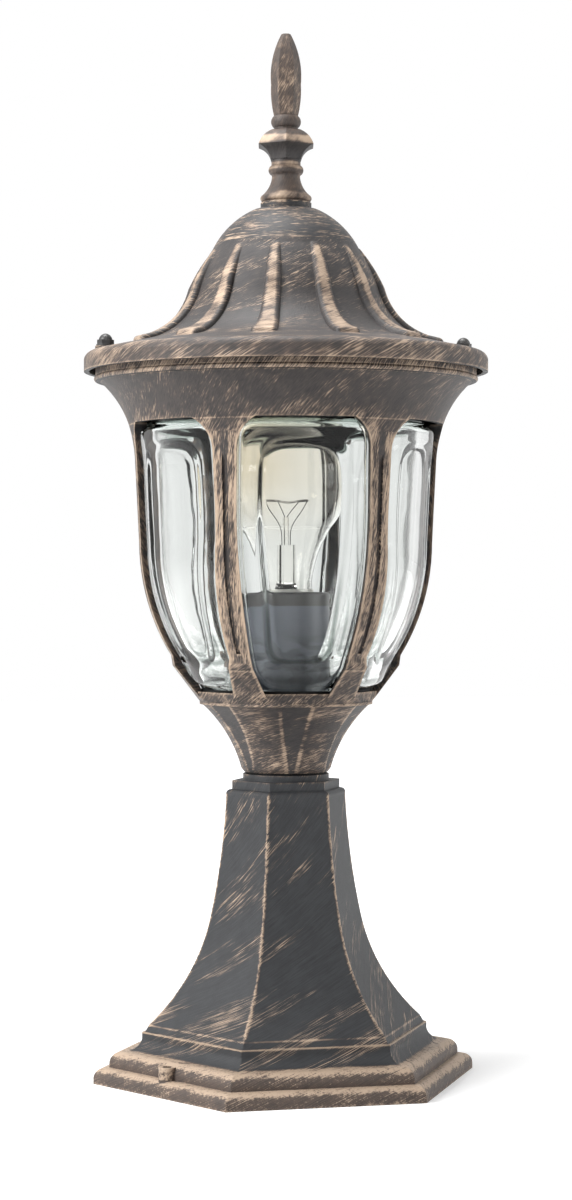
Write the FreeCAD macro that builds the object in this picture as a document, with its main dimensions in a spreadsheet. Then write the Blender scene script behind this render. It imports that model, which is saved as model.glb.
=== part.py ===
import FreeCAD, Part
import math
import os
import re
import Sketcher

# Cast pedestal lantern. Millimetres, +Z up, origin under the middle of the foot.
# The base has flats towards +Y and -Y; the head is screwed on a little askew (head_turn).

doc = FreeCAD.newDocument("PedestalLantern")
sheet = doc.addObject("Spreadsheet::Sheet", "Sizes")

sizes = {
    # base casting: half widths across flats, and heights stacked from the floor
    "foot_flat": 81.0,
    "foot_height": 7.6,
    "foot_round": 5.0,
    "step_flat": 74.4,
    "step_height": 7.4,
    "step_round": 5.4,
    "cove_reach": 5.9,
    "cove_height": 5.5,
    "cove_round": 7.0,
    "band_flat": 60.8,
    "band_height": 3.3,
    "fillet_flat": 59.5,
    "fillet_height": 3.2,
    "bell_flat": 57.9,
    "bell_curve": 100.0,
    "bell_waist_flat": 32.2,
    "bell_waist_height": 50.0,
    "bell_head_flat": 25.4,
    "bell_height": 108.5,
    "shoulder_inset": 1.8,
    "shoulder_height": 2.8,
    "shoulder_round": 2.2,
    "collar_flat": 22.9,
    "collar_height": 4.2,
    "disc_radius": 20.6,
    "disc_height": 3.0,
    "base_wall": 3.0,
    "bell_foot_wall": 4.2,
    "base_roof_wall": 6.0,
    "lug_reach": 75.0,
    "lug_radius": 4.2,
    "lug_height": 13.5,
    "lug_hole_radius": 2.25,
    # neck ring, tube and its nuts
    "neck_ring_radius": 19.6,
    "neck_ring_bore": 11.0,
    "neck_ring_height": 1.0,
    "tube_radius": 5.0,
    "tube_bore": 3.7,
    "tube_tail": 4.0,
    "tube_clearance": 0.3,
    "nut_flats": 17.0,
    "nut_height": 5.0,
    "washer_radius": 11.0,
    "washer_height": 1.5,
    # cage casting: heights stacked from the bottom of the cup
    "cup_bottom_radius": 20.2,
    "cup_neck_radius": 21.5,
    "cup_neck_height": 1.8,
    "cup_curve": 65.0,
    "cup_top_radius": 40.2,
    "cup_height": 32.4,
    "cup_wall": 3.2,
    "cup_floor": 4.0,
    "cup_facet_top": 39.3,
    "cup_facet_bottom": 21.2,
    "lip_radius": 41.5,
    "lip_height": 1.4,
    "sill_height": 4.8,
    "sill_flat": 41.0,
    "seat_radius": 41.2,
    "seat_bore": 33.0,
    "shoe_radius": 54.4,
    "shoe_height": 17.0,
    "rib_foot_radius": 55.1,
    "rib_foot_height": 4.7,
    "rib_curve": 105.0,
    "rib_belly_radius": 70.4,
    "rib_belly_height": 54.0,
    "rib_neck_radius": 72.2,
    "rib_neck_height": 36.5,
    "rib_flare": 75.0,
    "rib_head_radius": 75.3,
    "rib_head_height": 20.0,
    "rib_depth": 6.5,
    "rib_groove_depth": 1.3,
    "rib_groove_angle": 2.2,
    "rib_groove_start": 2.0,
    "rib_groove_end": 6.0,
    "cornice_curve": 48.0,
    "cornice_cove_inset": 2.4,
    "cornice_cove_height": 20.3,
    "cornice_bead_reach": 0.7,
    "cornice_bead_round": 1.3,
    "cornice_radius": 91.2,
    "cornice_height": 11.2,
    "cornice_wall": 3.2,
    "window_sill_half": 15.3,
    "window_shoe_half": 21.6,
    "window_shoe_height": 12.0,
    "window_belly_half": 30.8,
    "window_belly_height": 91.0,
    "window_curve": 325.0,
    "window_head_half": 23.0,
    "window_corner_height": 14.0,
    "window_corner_round": 16.0,
    "head_turn": -6.0,
    # glass shade and its seat
    "glass_seat_height": 1.2,
    "glass_seat_width": 6.0,
    "glass_gap": 0.4,
    "glass_wall": 4.0,
    "glass_rise": 5.0,
    "panel_inset": 1.6,
    "panel_sink": 2.8,
    "panel_border": 9.4,
    "panel_recess": 1.6,
    # roof casting: heights stacked from its seat on the cornice
    "roof_gasket_height": 0.8,
    "roof_gasket_width": 2.2,
    "rim_clearance": 3.0,
    "rim_drop": 7.3,
    "rim_wall": 2.5,
    "rim_edge_height": 1.3,
    "rim_round": 4.6,
    "rim_top_inset": 4.1,
    "rim_top_height": 2.2,
    "brim_radius": 69.0,
    "brim_height": 7.2,
    "dome_flare": 36.0,
    "dome_neck_radius": 44.9,
    "dome_neck_height": 32.1,
    "dome_side_curve": 80.0,
    "dome_side_radius": 35.3,
    "dome_side_height": 51.3,
    "dome_curve": 41.0,
    "dome_top_radius": 15.4,
    "dome_top_height": 70.6,
    "roof_collar_radius": 12.2,
    "roof_collar_height": 3.4,
    "roof_wall": 2.6,
    "roof_seat_width": 8.0,
    "roof_crown_wall": 5.0,
    "flute_rise": 2.4,
    "flute_top_rise": 0.5,
    "flute_angle": 9.5,
    "flute_foot": 7.5,
    "flute_top_cut": 1.5,
    "flute_round": 2.0,
    "stud_inset": 4.7,
    "stud_radius": 2.0,
    "stud_depth": 8.0,
    "stud_lug_radius": 4.6,
    "stud_lug_height": 9.5,
    "nut_seat_radius": 5.0,
    "nut_seat_margin": 0.228,
    "roof_washer_radius": 4.5,
    "roof_washer_height": 0.8,
    "cap_nut_flats": 7.0,
    "cap_nut_hex_height": 2.2,
    "cap_nut_dome_radius": 3.3,
    "cap_nut_dome_height": 3.0,
    "cap_nut_dome_curve": 3.5,
    "cap_nut_bore_depth": 3.6,
    # finial casting: heights stacked from the roof's collar
    "flange_radius": 12.2,
    "flange_height": 0.6,
    "flange_round": 1.7,
    "flange_swell": 1.8,
    "sweep_curve": 13.5,
    "sweep_height": 9.0,
    "waist_radius": 6.7,
    "waist_height": 0.7,
    "bead_neck_radius": 7.0,
    "bead_height": 4.6,
    "bead_round": 2.6,
    "stem_top_height": 2.6,
    "bulge_foot_flat": 7.2,
    "bulge_under_curve": 9.0,
    "bulge_under_height": 6.8,
    "bulge_flat": 13.1,
    "bulge_over_curve": 12.0,
    "bulge_over_height": 7.6,
    "bulge_top_flat": 6.4,
    "ring_neck_radius": 5.7,
    "ring_neck_height": 1.0,
    "ring_height": 5.8,
    "ring_round": 3.6,
    "spear_foot_flat": 5.0,
    "spear_foot_curve": 60.0,
    "spear_foot_height": 15.0,
    "spear_flat": 6.2,
    "spear_tip_curve": 48.0,
    "spear_tip_height": 24.2,
    "spear_tip_flat": 1.9,
    "finial_turn": -13.0,
    "finial_stud_radius": 3.0,
    "finial_stud_depth": 14.0,
    "finial_stud_tail": 3.0,
    "finial_nut_flats": 10.0,
    "finial_nut_height": 5.0,
    "finial_washer_radius": 8.0,
    "finial_washer_height": 1.2,
    # lampholder: heights stacked from its bottom
    "holder_rise": 19.0,
    "holder_entry": 10.0,
    "holder_foot_radius": 10.0,
    "holder_radius": 21.0,
    "holder_dome": 14.0,
    "holder_cap_height": 24.0,
    "holder_height": 57.0,
    "holder_wall": 2.2,
    "holder_mouth": 15.2,
    "holder_lip": 2.0,
    "holder_round": 1.5,
    "insert_height": 12.0,
    "insert_seat": 20.0,
    "insert_clearance": 0.3,
    "screw_shell_radius": 14.4,
    "screw_shell_wall": 0.5,
    "screw_shell_height": 21.0,
    "contact_width": 5.0,
    "contact_length": 9.0,
    "contact_tip": 3.0,
    "contact_thickness": 0.8,
    "contact_height": 2.4,
    # lamp: heights stacked from its end contact
    "lamp_contact_radius": 4.0,
    "lamp_contact_height": 1.2,
    "lamp_insulator_radius": 9.0,
    "lamp_insulator_height": 4.0,
    "lamp_cap_radius": 13.2,
    "lamp_cap_wall": 0.6,
    "lamp_cap_taper": 3.0,
    "lamp_cap_height": 24.0,
    "bulb_radius": 29.0,
    "bulb_wall": 0.8,
    "bulb_neck_radius": 12.4,
    "bulb_neck_tuck": 6.0,
    "bulb_neck_height": 28.0,
    "bulb_flare": 60.0,
    "bulb_shoulder_radius": 21.5,
    "bulb_shoulder_height": 53.0,
    "bulb_belly_height": 76.0,
    "stem_foot_height": 1.2,
    "stem_flare": 9.0,
    "stem_radius": 4.5,
    "stem_height": 45.0,
    "stem_rod_radius": 1.4,
    "stem_rod_height": 58.0,
    "lamp_wire_radius": 0.4,
    "lamp_wire_spread": 3.0,
    "filament_radius": 0.4,
    "filament_half": 11.0,
    "filament_sag": 5.0,
    "filament_height": 66.0,
    # connection block on its boss, and the leads
    "boss_width": 14.0,
    "boss_height": 14.0,
    "boss_face": 24.0,
    "block_centre": 55.0,
    "block_width": 31.0,
    "block_height": 16.0,
    "block_depth": 14.0,
    "block_pitch": 10.0,
    "clamp_screw_radius": 1.9,
    "clamp_screw_rise": 4.0,
    "clamp_screw_sink": 0.6,
    "clamp_screw_length": 3.4,
    "fixing_screw_radius": 1.5,
    "fixing_head_radius": 2.6,
    "fixing_head_height": 2.0,
    "fixing_screw_grip": 6.0,
    "tag_height": 1.0,
    "tag_width": 6.0,
    "tag_reach": 17.0,
    "lead_radius": 1.1,
    "lead_spread": 1.6,
    "lead_drop": 21.0,
    "lead_rise": 29.0,
}

for row, (alias, number) in enumerate(sizes.items(), start=1):
    sheet.set(f"A{row}", alias)
    sheet.set(f"B{row}", str(number))
    sheet.setAlias(f"B{row}", alias)
doc.recompute()

alias_word = re.compile(r"\b(" + "|".join(sizes) + r")\b")
past = 5.0          # how far a cut runs past the solid that it cuts
six = 6             # sides of the base, ribs and windows of the cage
bend_share = 0.45   # part of the shorter run that the bend of a wire takes up
flute_count = 12
flute_turn = "15"   # the flutes straddle the line of the two cap nuts
bulge_turn = "30"   # the bulge of the finial has a corner over each flat of the spear


def formula(text):
    """The same sum, with each size read from the sheet."""
    return alias_word.sub(r"Sizes.\1", text)


def value(text):
    return float(sheet.evalExpression(formula(text)))


def bind(feature, **formulas):
    for name, text in formulas.items():
        feature.setExpression(name, formula(text))


def put(feature, x="0", y="0", z="0", turn="0"):
    """Place a feature, turned about the vertical."""
    place = f"placement(vector({x}; {y}; {z}); rotation(vector(0; 0; 1); {turn}))"
    feature.setExpression("Placement", formula(place))


def origin_part(body, role):
    return next(part for part in body.Origin.OriginFeatures if part.Role == role)


def new_body(label):
    body = doc.addObject("PartDesign::Body", "Body")
    body.Label = label
    return body


def sketch_on(body, role, offset="0"):
    """A sketch on one of the body's origin planes, moved along its normal."""
    sketch = body.newObject("Sketcher::SketchObject", "Sketch")
    sketch.AttachmentSupport = [(origin_part(body, role), "")]
    sketch.MapMode = "FlatFace"
    sketch.setExpression("AttachmentOffset.Base.z", formula(offset))
    return sketch


def arc_between(start, end, radius, side):
    """An arc from start to end with its centre to the left or right of the way."""
    across = (end - start).normalize()
    left = FreeCAD.Vector(-across.y, across.x, 0)
    chord = start.distanceToPoint(end)
    depth = math.sqrt(max(radius ** 2 - chord ** 2 / 4, 0))
    centre = (start + end) / 2 + left * (depth if side == "left" else -depth)
    first, last = (start, end) if side == "left" else (end, start)
    angles = [math.atan2(point.y - centre.y, point.x - centre.x) for point in (first, last)]
    return Part.ArcOfCircle(Part.Circle(centre, FreeCAD.Vector(0, 0, 1), radius), *angles)


def smooth_radius(start, end, heading):
    """Radius and side of the arc that leaves start along heading and reaches end."""
    left = FreeCAD.Vector(-heading.y, heading.x, 0)
    chord = end - start
    radius = chord.Length ** 2 / (2 * left.dot(chord))
    return abs(radius), "left" if radius > 0 else "right"


def draw(sketch, path):
    """Draw a closed outline whose corners and radii follow the sheet.

    Each corner is (x, y) where a line arrives, (x, y, side, radius) where an arc
    arrives, and (x, y, "smooth") where an arc arrives that leaves its line smoothly.
    """
    first_curve = sketch.GeometryCount
    corners = [FreeCAD.Vector(value(step[0]), value(step[1]), 0) for step in path]
    count = len(path)
    ends = []
    radii = []
    heading = None
    for index in range(count):
        start, end = corners[index], corners[(index + 1) % count]
        how = path[(index + 1) % count][2:]
        side = "line"
        if not how:
            curve = Part.LineSegment(start, end)
            heading = (end - start).normalize()
        else:
            if how[0] == "smooth":
                radius, side = smooth_radius(start, end, heading)
            else:
                side, radius = how[0], value(how[1])
                radii.append((first_curve + index, radius, how[1]))
            curve = arc_between(start, end, radius, side)
            spoke = (end - curve.Center).normalize()
            heading = FreeCAD.Vector(-spoke.y, spoke.x, 0) * (1 if side == "left" else -1)
        sketch.addGeometry(curve, False)
        ends.append((2, 1) if side == "right" else (1, 2))
    rules = []
    formulas = {}
    for index in range(count):
        after = (index + 1) % count
        kind = "Tangent" if path[(after + 1) % count][2:3] == ("smooth",) else "Coincident"
        rules.append(Sketcher.Constraint(kind, first_curve + index, ends[index][1],
                                         first_curve + after, ends[after][0]))
    for index, step in enumerate(path):
        for kind, text, number in (("DistanceX", step[0], corners[index].x),
                                   ("DistanceY", step[1], corners[index].y)):
            formulas[len(rules)] = text
            rules.append(Sketcher.Constraint(kind, -1, 1, first_curve + index, ends[index][0], number))
    for curve, radius, text in radii:
        formulas[len(rules)] = text
        rules.append(Sketcher.Constraint("Radius", curve, radius))
    constrain(sketch, rules, formulas)


def circle(sketch, x, y, radius):
    """Draw a circle whose centre and radius follow the sheet."""
    centre = FreeCAD.Vector(value(x), value(y), 0)
    curve = sketch.addGeometry(Part.Circle(centre, FreeCAD.Vector(0, 0, 1), value(radius)), False)
    rules = [
        Sketcher.Constraint("DistanceX", -1, 1, curve, 3, centre.x),
        Sketcher.Constraint("DistanceY", -1, 1, curve, 3, centre.y),
        Sketcher.Constraint("Radius", curve, value(radius)),
    ]
    constrain(sketch, rules, {0: x, 1: y, 2: radius})


def constrain(sketch, rules, formulas):
    first_rule = sketch.ConstraintCount
    sketch.addConstraint(rules)
    for index, text in formulas.items():
        sketch.setExpression(f"Constraints[{first_rule + index}]", formula(text))


def hexagon(flat, x="0"):
    """Corners of a hexagon with flats towards +Y and -Y, around (x, 0)."""
    corner = f"({flat}) / cos(30 deg)"
    return [(f"{x} + {corner} * cos({turn} deg)", f"{corner} * sin({turn} deg)")
            for turn in range(0, 360, 60)]


def revolve(body, sketch, angle="360", kind="Revolution"):
    """Turn a sketch of the XZ plane about the vertical, both ways for less than a turn."""
    feature = body.newObject(f"PartDesign::{kind}", kind)
    feature.Profile = sketch
    feature.ReferenceAxis = (sketch, ["V_Axis"])
    feature.Midplane = angle != "360"
    bind(feature, Angle=angle)
    return feature


def extrude(body, sketch, length, kind="Pad", reverse=False, symmetric=False):
    feature = body.newObject(f"PartDesign::{kind}", kind)
    feature.Profile = sketch
    feature.Reversed = reverse
    feature.SideType = "Symmetric" if symmetric else "One side"
    bind(feature, Length=length)
    return feature


def around(body, feature, count):
    """Repeat a feature about the body's vertical axis."""
    pattern = body.newObject("PartDesign::PolarPattern", "PolarPattern")
    pattern.Originals = [feature]
    pattern.Axis = (origin_part(body, "Z_Axis"), [""])
    pattern.Angle = 360
    pattern.Occurrences = count
    body.Tip = pattern
    return pattern


def turned(label, path):
    """A body turned from one outline of radii and heights."""
    body = new_body(label)
    sketch = sketch_on(body, "XZ_Plane")
    draw(sketch, path)
    revolve(body, sketch)
    return body


def washer(label, radius, bore, height):
    return turned(label, [(bore, "0"), (radius, "0"), (radius, height), (bore, height)])


def rod(label, radius, height):
    return turned(label, [("0", "0"), (radius, "0"), (radius, height), ("0", height)])


def six_sided(label, flat, height, side):
    """A hexagonal block whose six faces are milled to one side outline, from the bottom up."""
    body = new_body(label)
    block = sketch_on(body, "XY_Plane")
    draw(block, hexagon(f"{flat} + {past}"))
    extrude(body, block, height)
    waste = sketch_on(body, "YZ_Plane")
    foot, head = side[0], side[-1]
    outside = f"{flat} + {3 * past}"
    draw(waste, [(foot[0], f"{foot[1]} - {past}"), *side, (head[0], f"{head[1]} + {past}"),
                 (outside, f"{head[1]} + {past}"), (outside, f"{foot[1]} - {past}")])
    around(body, extrude(body, waste, f"4 * ({flat} + {past})", "Pocket", symmetric=True), six)
    return body


def hex_nut(label, flats, bore, height):
    body = new_body(label)
    sketch = sketch_on(body, "XY_Plane")
    draw(sketch, hexagon(f"{flats} / 2"))
    circle(sketch, "0", "0", bore)
    extrude(body, sketch, height)
    return body


def primitive(kind, name, x="0", y="0", z="0", **formulas):
    shape = doc.addObject(f"Part::{kind}", name)
    bind(shape, **formulas)
    put(shape, x, y, z)
    return shape


def join(name, shapes):
    fused = doc.addObject("Part::MultiFuse", name)
    fused.Shapes = shapes
    return fused


def cut(name, base, tool):
    result = doc.addObject("Part::Cut", name)
    result.Base = base
    result.Tool = tool
    return result


def group(label, shapes):
    """Separate like solids as one sub-part."""
    together = doc.addObject("Part::Compound", label)
    together.Links = shapes
    together.Label = label
    return together


def other_side(shape):
    mirrored = doc.addObject("Part::Mirroring", "OtherSide")
    mirrored.Source = shape
    mirrored.Normal = FreeCAD.Vector(1, 0, 0)
    return mirrored


def wire_along(points):
    """Straight runs joined by arcs as large as the shorter run of each pair allows."""
    edges = []
    start = points[0]
    for before, corner, after in zip(points, points[1:], points[2:]):
        back = (before - corner).normalize()
        ahead = (after - corner).normalize()
        trim = bend_share * min(before.distanceToPoint(corner), after.distanceToPoint(corner))
        half_turn = (math.pi - back.getAngle(ahead)) / 2
        radius = trim / math.tan(half_turn)
        inward = (back + ahead).normalize()
        middle = corner + inward * (radius / math.cos(half_turn) - radius)
        edges.append(Part.makeLine(start, corner + back * trim))
        edges.append(Part.Arc(corner + back * trim, middle, corner + ahead * trim).toShape())
        start = corner + ahead * trim
    edges.append(Part.makeLine(start, points[-1]))
    return Part.Wire(edges)


def round_bar(route, radius):
    """A round bar or lead along the runs between points."""
    points = [FreeCAD.Vector(*point) for point in route]
    path = wire_along(points)
    section = Part.Wire(Part.makeCircle(radius, points[0], points[1] - points[0]))
    return path.makePipeShell([section], True, True)


def shaped(label, shape, height="0"):
    feature = doc.addObject("Part::Feature", label)
    feature.Shape = shape
    feature.Label = label
    put(feature, z=height)
    return feature


# Heights above the floor
cove_level = "foot_height + step_height"
band_level = f"{cove_level} + cove_height"
fillet_level = f"{band_level} + band_height"
bell_level = f"{fillet_level} + fillet_height"
waist_level = f"{bell_level} + bell_waist_height"
shoulder_level = f"{bell_level} + bell_height"
collar_level = f"{shoulder_level} + shoulder_height"
disc_level = f"{collar_level} + collar_height"
base_top = f"{disc_level} + disc_height"
base_ceiling = f"{base_top} - base_roof_wall"
cage_level = f"{base_top} + neck_ring_height"


# Base casting
def base_pedestal():
    outer = six_sided("base_outside", "foot_flat", disc_level, [
        ("foot_flat", "0"),
        ("foot_flat", "foot_height - foot_round"),
        ("foot_flat - foot_round", "foot_height", "left", "foot_round"),
        ("step_flat", "foot_height"),
        ("step_flat", f"{cove_level} - step_round"),
        ("step_flat - step_round", cove_level, "left", "step_round"),
        ("band_flat + cove_reach", cove_level),
        ("band_flat", band_level, "right", "cove_round"),
        ("band_flat", fillet_level),
        ("fillet_flat", fillet_level),
        ("bell_flat", bell_level),
        ("bell_waist_flat", waist_level, "right", "bell_curve"),
        ("bell_head_flat", shoulder_level, "smooth"),
        ("bell_head_flat - shoulder_inset", collar_level, "left", "shoulder_round"),
        ("collar_flat", collar_level),
        ("collar_flat", disc_level),
    ])
    hollow = six_sided("base_inside", "foot_flat", base_ceiling, [
        ("foot_flat - base_wall", "0"),
        ("foot_flat - base_wall", "foot_height - base_wall"),
        ("step_flat - base_wall", "foot_height - base_wall"),
        ("step_flat - base_wall", "foot_height"),
        ("band_flat - base_wall", f"{band_level} - 2 * base_wall"),
        ("bell_flat - bell_foot_wall", bell_level),
        ("bell_waist_flat - base_wall", waist_level, "right", "bell_curve + base_wall"),
        ("bell_head_flat - base_wall", shoulder_level, "smooth"),
        ("collar_flat - base_wall", f"{shoulder_level} + base_wall / 2"),
        ("collar_flat - base_wall", base_ceiling),
    ])
    disc = primitive("Cylinder", "Disc", z=disc_level, Radius="disc_radius", Height="disc_height")
    shell = cut("Shell", join("Outside", [outer, disc]), hollow)
    boss = doc.addObject("Part::Common", "Boss")
    boss.Base = outer
    boss.Tool = primitive("Box", "BossBar", "-boss_width / 2", "boss_face",
                          "block_centre - boss_height / 2",
                          Length="boss_width", Width="foot_flat", Height="boss_height")
    lugs = []
    holes = [primitive("Cylinder", "TubeHole", z=f"{base_ceiling} - {past}",
                       Radius="tube_radius + tube_clearance", Height=f"base_roof_wall + 2 * {past}")]
    for turn in (30, 210):
        x, y = f"lug_reach * cos({turn} deg)", f"lug_reach * sin({turn} deg)"
        lugs.append(primitive("Cylinder", "Lug", x, y, Radius="lug_radius", Height="lug_height"))
        holes.append(primitive("Cylinder", "LugHole", x, y, f"-{past}", Radius="lug_hole_radius",
                               Height=f"lug_height + 2 * {past}"))
    for side in (-1, 1):
        hole = primitive("Cylinder", "ScrewHole", Radius="fixing_screw_radius", Height="fixing_screw_grip")
        lay_back(hole, f"{side} * block_pitch / 2", "boss_face", "block_centre")
        holes.append(hole)
    casting = cut("base_pedestal", join("Casting", [shell, boss, *lugs]), join("Holes", holes))
    return [casting]


def lay_back(shape, x, y, z):
    """Lay an upright round towards +Y."""
    place = f"placement(vector({x}; {y}; {z}); rotation(vector(1; 0; 0); -90))"
    shape.setExpression("Placement", formula(place))


# Levels of the cage, above the bottom of its cup
lip_level = "cup_height + lip_height"
sill_level = f"{lip_level} + sill_height"
shoe_level = f"{lip_level} + shoe_height"
rib_foot_level = f"{shoe_level} + rib_foot_height"
rib_belly_level = f"{rib_foot_level} + rib_belly_height"
rib_neck_level = f"{rib_belly_level} + rib_neck_height"
head_level = f"{rib_neck_level} + rib_head_height"
cornice_level = f"{head_level} + cornice_cove_height"
cage_top = f"{cornice_level} + cornice_height"
bead_top = f"{cornice_level} + 2 * cornice_bead_round"
cornice_cove_radius = "cornice_radius - cornice_cove_inset"
cornice_bead_foot = "cornice_radius + cornice_bead_reach - cornice_bead_round"
stud_reach = "cornice_radius - stud_inset"


def window_outline(inset):
    """Outline of one window, seen straight on, drawn in by inset."""
    sill = f"{sill_level} + {inset}"
    shoe = f"{sill_level} + window_shoe_height + {inset} / 2"
    belly = f"{sill_level} + window_belly_height"
    corner = f"{head_level} - window_corner_height"
    head = f"{head_level} - {inset}"
    right = [
        (f"window_sill_half - {inset} / 2", sill),
        (f"window_shoe_half - {inset}", shoe),
        (f"window_belly_half - {inset}", belly, "left", f"window_curve - {inset}"),
        (f"window_belly_half - {inset}", corner),
        (f"window_head_half - {inset} / 2", head, "left", "window_corner_round"),
    ]
    half, level = right[-1][:2]
    left = [(f"-({half})", level)]
    for here, before in zip(right[::-1], right[-2::-1]):
        left.append((f"-({before[0]})", before[1], *here[2:]))
    return right + left


def lantern_cage():
    body = new_body("lantern_cage")
    wall = sketch_on(body, "XZ_Plane")
    draw(wall, [
        ("tube_radius + tube_clearance", "0"),
        ("cup_bottom_radius", "0"),
        ("cup_neck_radius", "cup_neck_height"),
        ("cup_top_radius", "cup_height", "right", "cup_curve"),
        ("lip_radius", "cup_height"),
        ("lip_radius", lip_level),
        ("shoe_radius", shoe_level),
        ("rib_foot_radius", rib_foot_level),
        ("rib_belly_radius", rib_belly_level, "left", "rib_curve"),
        ("rib_neck_radius", rib_neck_level),
        ("rib_head_radius", head_level, "right", "rib_flare"),
        (cornice_cove_radius, cornice_level, "right", "cornice_curve"),
        (cornice_bead_foot, cornice_level),
        (cornice_bead_foot, bead_top, "left", "cornice_bead_round"),
        ("cornice_radius", bead_top),
        ("cornice_radius", cage_top),
        ("cornice_radius - cornice_wall", cage_top),
        ("cornice_radius - cornice_wall", bead_top),
        ("rib_head_radius - cornice_wall", head_level, "left", "cornice_curve + cornice_wall"),
        ("rib_head_radius - rib_depth", head_level),
        ("rib_neck_radius - rib_depth", rib_neck_level, "left", "rib_flare + rib_depth"),
        ("rib_belly_radius - rib_depth", rib_belly_level),
        ("rib_foot_radius - rib_depth", rib_foot_level, "right", "rib_curve - rib_depth"),
        ("seat_radius", sill_level),
        ("seat_bore", sill_level),
        ("seat_bore", "cup_height - cup_wall"),
        ("cup_neck_radius - cup_wall", "cup_floor", "left", "cup_curve + cup_wall"),
        ("tube_radius + tube_clearance", "cup_floor"),
    ])
    revolve(body, wall)
    window = sketch_on(body, "XZ_Plane")
    draw(window, window_outline("0"))
    around(body, extrude(body, window, f"cornice_radius + {past}", "Pocket", reverse=True), six)
    slope = "(window_shoe_half - window_sill_half) / window_shoe_height"
    foot_half = f"window_sill_half - sill_height * {slope}"
    sill = sketch_on(body, "XZ_Plane", "sill_flat")
    draw(sill, [(f"-({foot_half})", lip_level), (foot_half, lip_level),
                ("window_sill_half", sill_level), ("-window_sill_half", sill_level)])
    around(body, extrude(body, sill, "shoe_radius", "Pocket", reverse=True), six)
    facet = sketch_on(body, "YZ_Plane")
    facet_outside = f"cup_top_radius + {past}"
    draw(facet, [("cup_facet_bottom", "cup_neck_height"),
                 ("cup_facet_top", "cup_height", "right", "cup_curve"),
                 (facet_outside, "cup_height"), (facet_outside, "cup_neck_height")])
    around(body, extrude(body, facet, "cup_top_radius", "Pocket", symmetric=True), six)
    groove = sketch_on(body, "XZ_Plane")
    groove_foot = f"{rib_foot_level} + rib_groove_start"
    groove_head = f"{rib_neck_level} + rib_groove_end"
    groove_outside = f"rib_head_radius + {past}"
    draw(groove, [("rib_foot_radius", groove_foot),
                  ("rib_belly_radius - rib_groove_depth", rib_belly_level, "left", "rib_curve"),
                  ("rib_neck_radius - rib_groove_depth", rib_neck_level),
                  ("rib_neck_radius + rib_groove_depth", groove_head),
                  (groove_outside, groove_head), (groove_outside, groove_foot)])
    around(body, revolve(body, groove, "rib_groove_angle", "Groove"), six)
    lug = sketch_on(body, "XY_Plane", f"{cage_top} - stud_lug_height")
    circle(lug, stud_reach, "0", "stud_lug_radius")
    around(body, extrude(body, lug, "stud_lug_height"), 2)
    hole = sketch_on(body, "XY_Plane", cage_top)
    circle(hole, stud_reach, "0", "stud_radius")
    around(body, extrude(body, hole, "stud_depth", "Pocket"), 2)
    put(body, z=cage_level, turn="head_turn")
    return [body]


# Glass shade with six raised panels, on its seat ring
seat_top = f"{sill_level} + glass_seat_height"
glass_back = "rib_depth + glass_gap"
glass_front = "panel_sink"
glass_inside = f"{glass_back} + glass_wall"
glass_foot_radius = "seat_radius - glass_gap"
glass_top = f"{head_level} + glass_rise"


def glass_side(sink, foot, top):
    """Outer line of the ribs, moved in by sink, from foot to top."""
    return [
        foot,
        (f"rib_foot_radius - ({sink})", rib_foot_level),
        (f"rib_belly_radius - ({sink})", rib_belly_level, "left", f"rib_curve - ({sink})"),
        (f"rib_neck_radius - ({sink})", rib_neck_level),
        (f"rib_head_radius - ({sink})", top),
    ]


def back_down(side):
    """The same line, drawn from its top to its foot."""
    turned_side = {"left": "right", "right": "left"}
    line = [side[-1][:2]]
    for here, before in zip(side[::-1], side[-2::-1]):
        how = (turned_side[here[2]], here[3]) if here[2:] else ()
        line.append((*before[:2], *how))
    return line


def on_panels(label, inset, front, back):
    """Glass between two depths behind the ribs' outer line, within each window's outline."""
    def foot(sink):
        return f"{glass_foot_radius} + {glass_back} - ({sink})", seat_top

    ring = turned(f"{label}_ring", glass_side(front, foot(front), glass_top)
                  + back_down(glass_side(back, foot(back), glass_top)))
    outlines = new_body(f"{label}_outlines")
    window = sketch_on(outlines, "XZ_Plane")
    draw(window, window_outline(inset))
    around(outlines, extrude(outlines, window, f"cornice_radius + {past}", reverse=False), six)
    panels = doc.addObject("Part::Common", label)
    panels.Base = ring
    panels.Tool = outlines
    return panels


def glass_shade():
    inner_foot = (f"{glass_foot_radius} - glass_wall", seat_top)
    shell = turned("glass_shell",
                   glass_side(glass_back, (glass_foot_radius, seat_top), glass_top)
                   + back_down(glass_side(glass_inside, inner_foot, glass_top)))
    raised = on_panels("panels", "panel_inset", glass_front, f"{glass_back} + glass_wall / 2")
    sunk = on_panels("recesses", "(panel_inset + panel_border)", f"{glass_front} - {past}",
                     f"{glass_front} + panel_recess")
    glass = cut("glass_shade", join("glass_blank", [shell, raised]), sunk)
    put(glass, z=cage_level, turn="head_turn")
    seat = washer("glass_seat", glass_foot_radius, f"{glass_foot_radius} - glass_seat_width",
                  "glass_seat_height")
    put(seat, z=f"{cage_level} + {sill_level}", turn="head_turn")
    return [glass, seat]


# Roof casting with twelve flutes, its seal and its two cap nuts
roof_level = f"{cage_level} + {cage_top} + roof_gasket_height"


def same_spots(spots, ends):
    """Whether two points lie at the two ends, either way round."""
    ways = (ends, ends[::-1])
    return any(max(map(math.dist, spots, way)) < 0.01 for way in ways)


def edges_between(shape, ends):
    """Names of the edges whose two ends lie at the given pairs of radius and height."""
    names = []
    for number, edge in enumerate(shape.Edges, start=1):
        spots = [(math.hypot(end.X, end.Y), end.Z) for end in edge.Vertexes]
        for first, last in ends:
            if len(spots) == 2 and same_spots(spots, (first, last)):
                names.append(f"Edge{number}")
    return names


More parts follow.
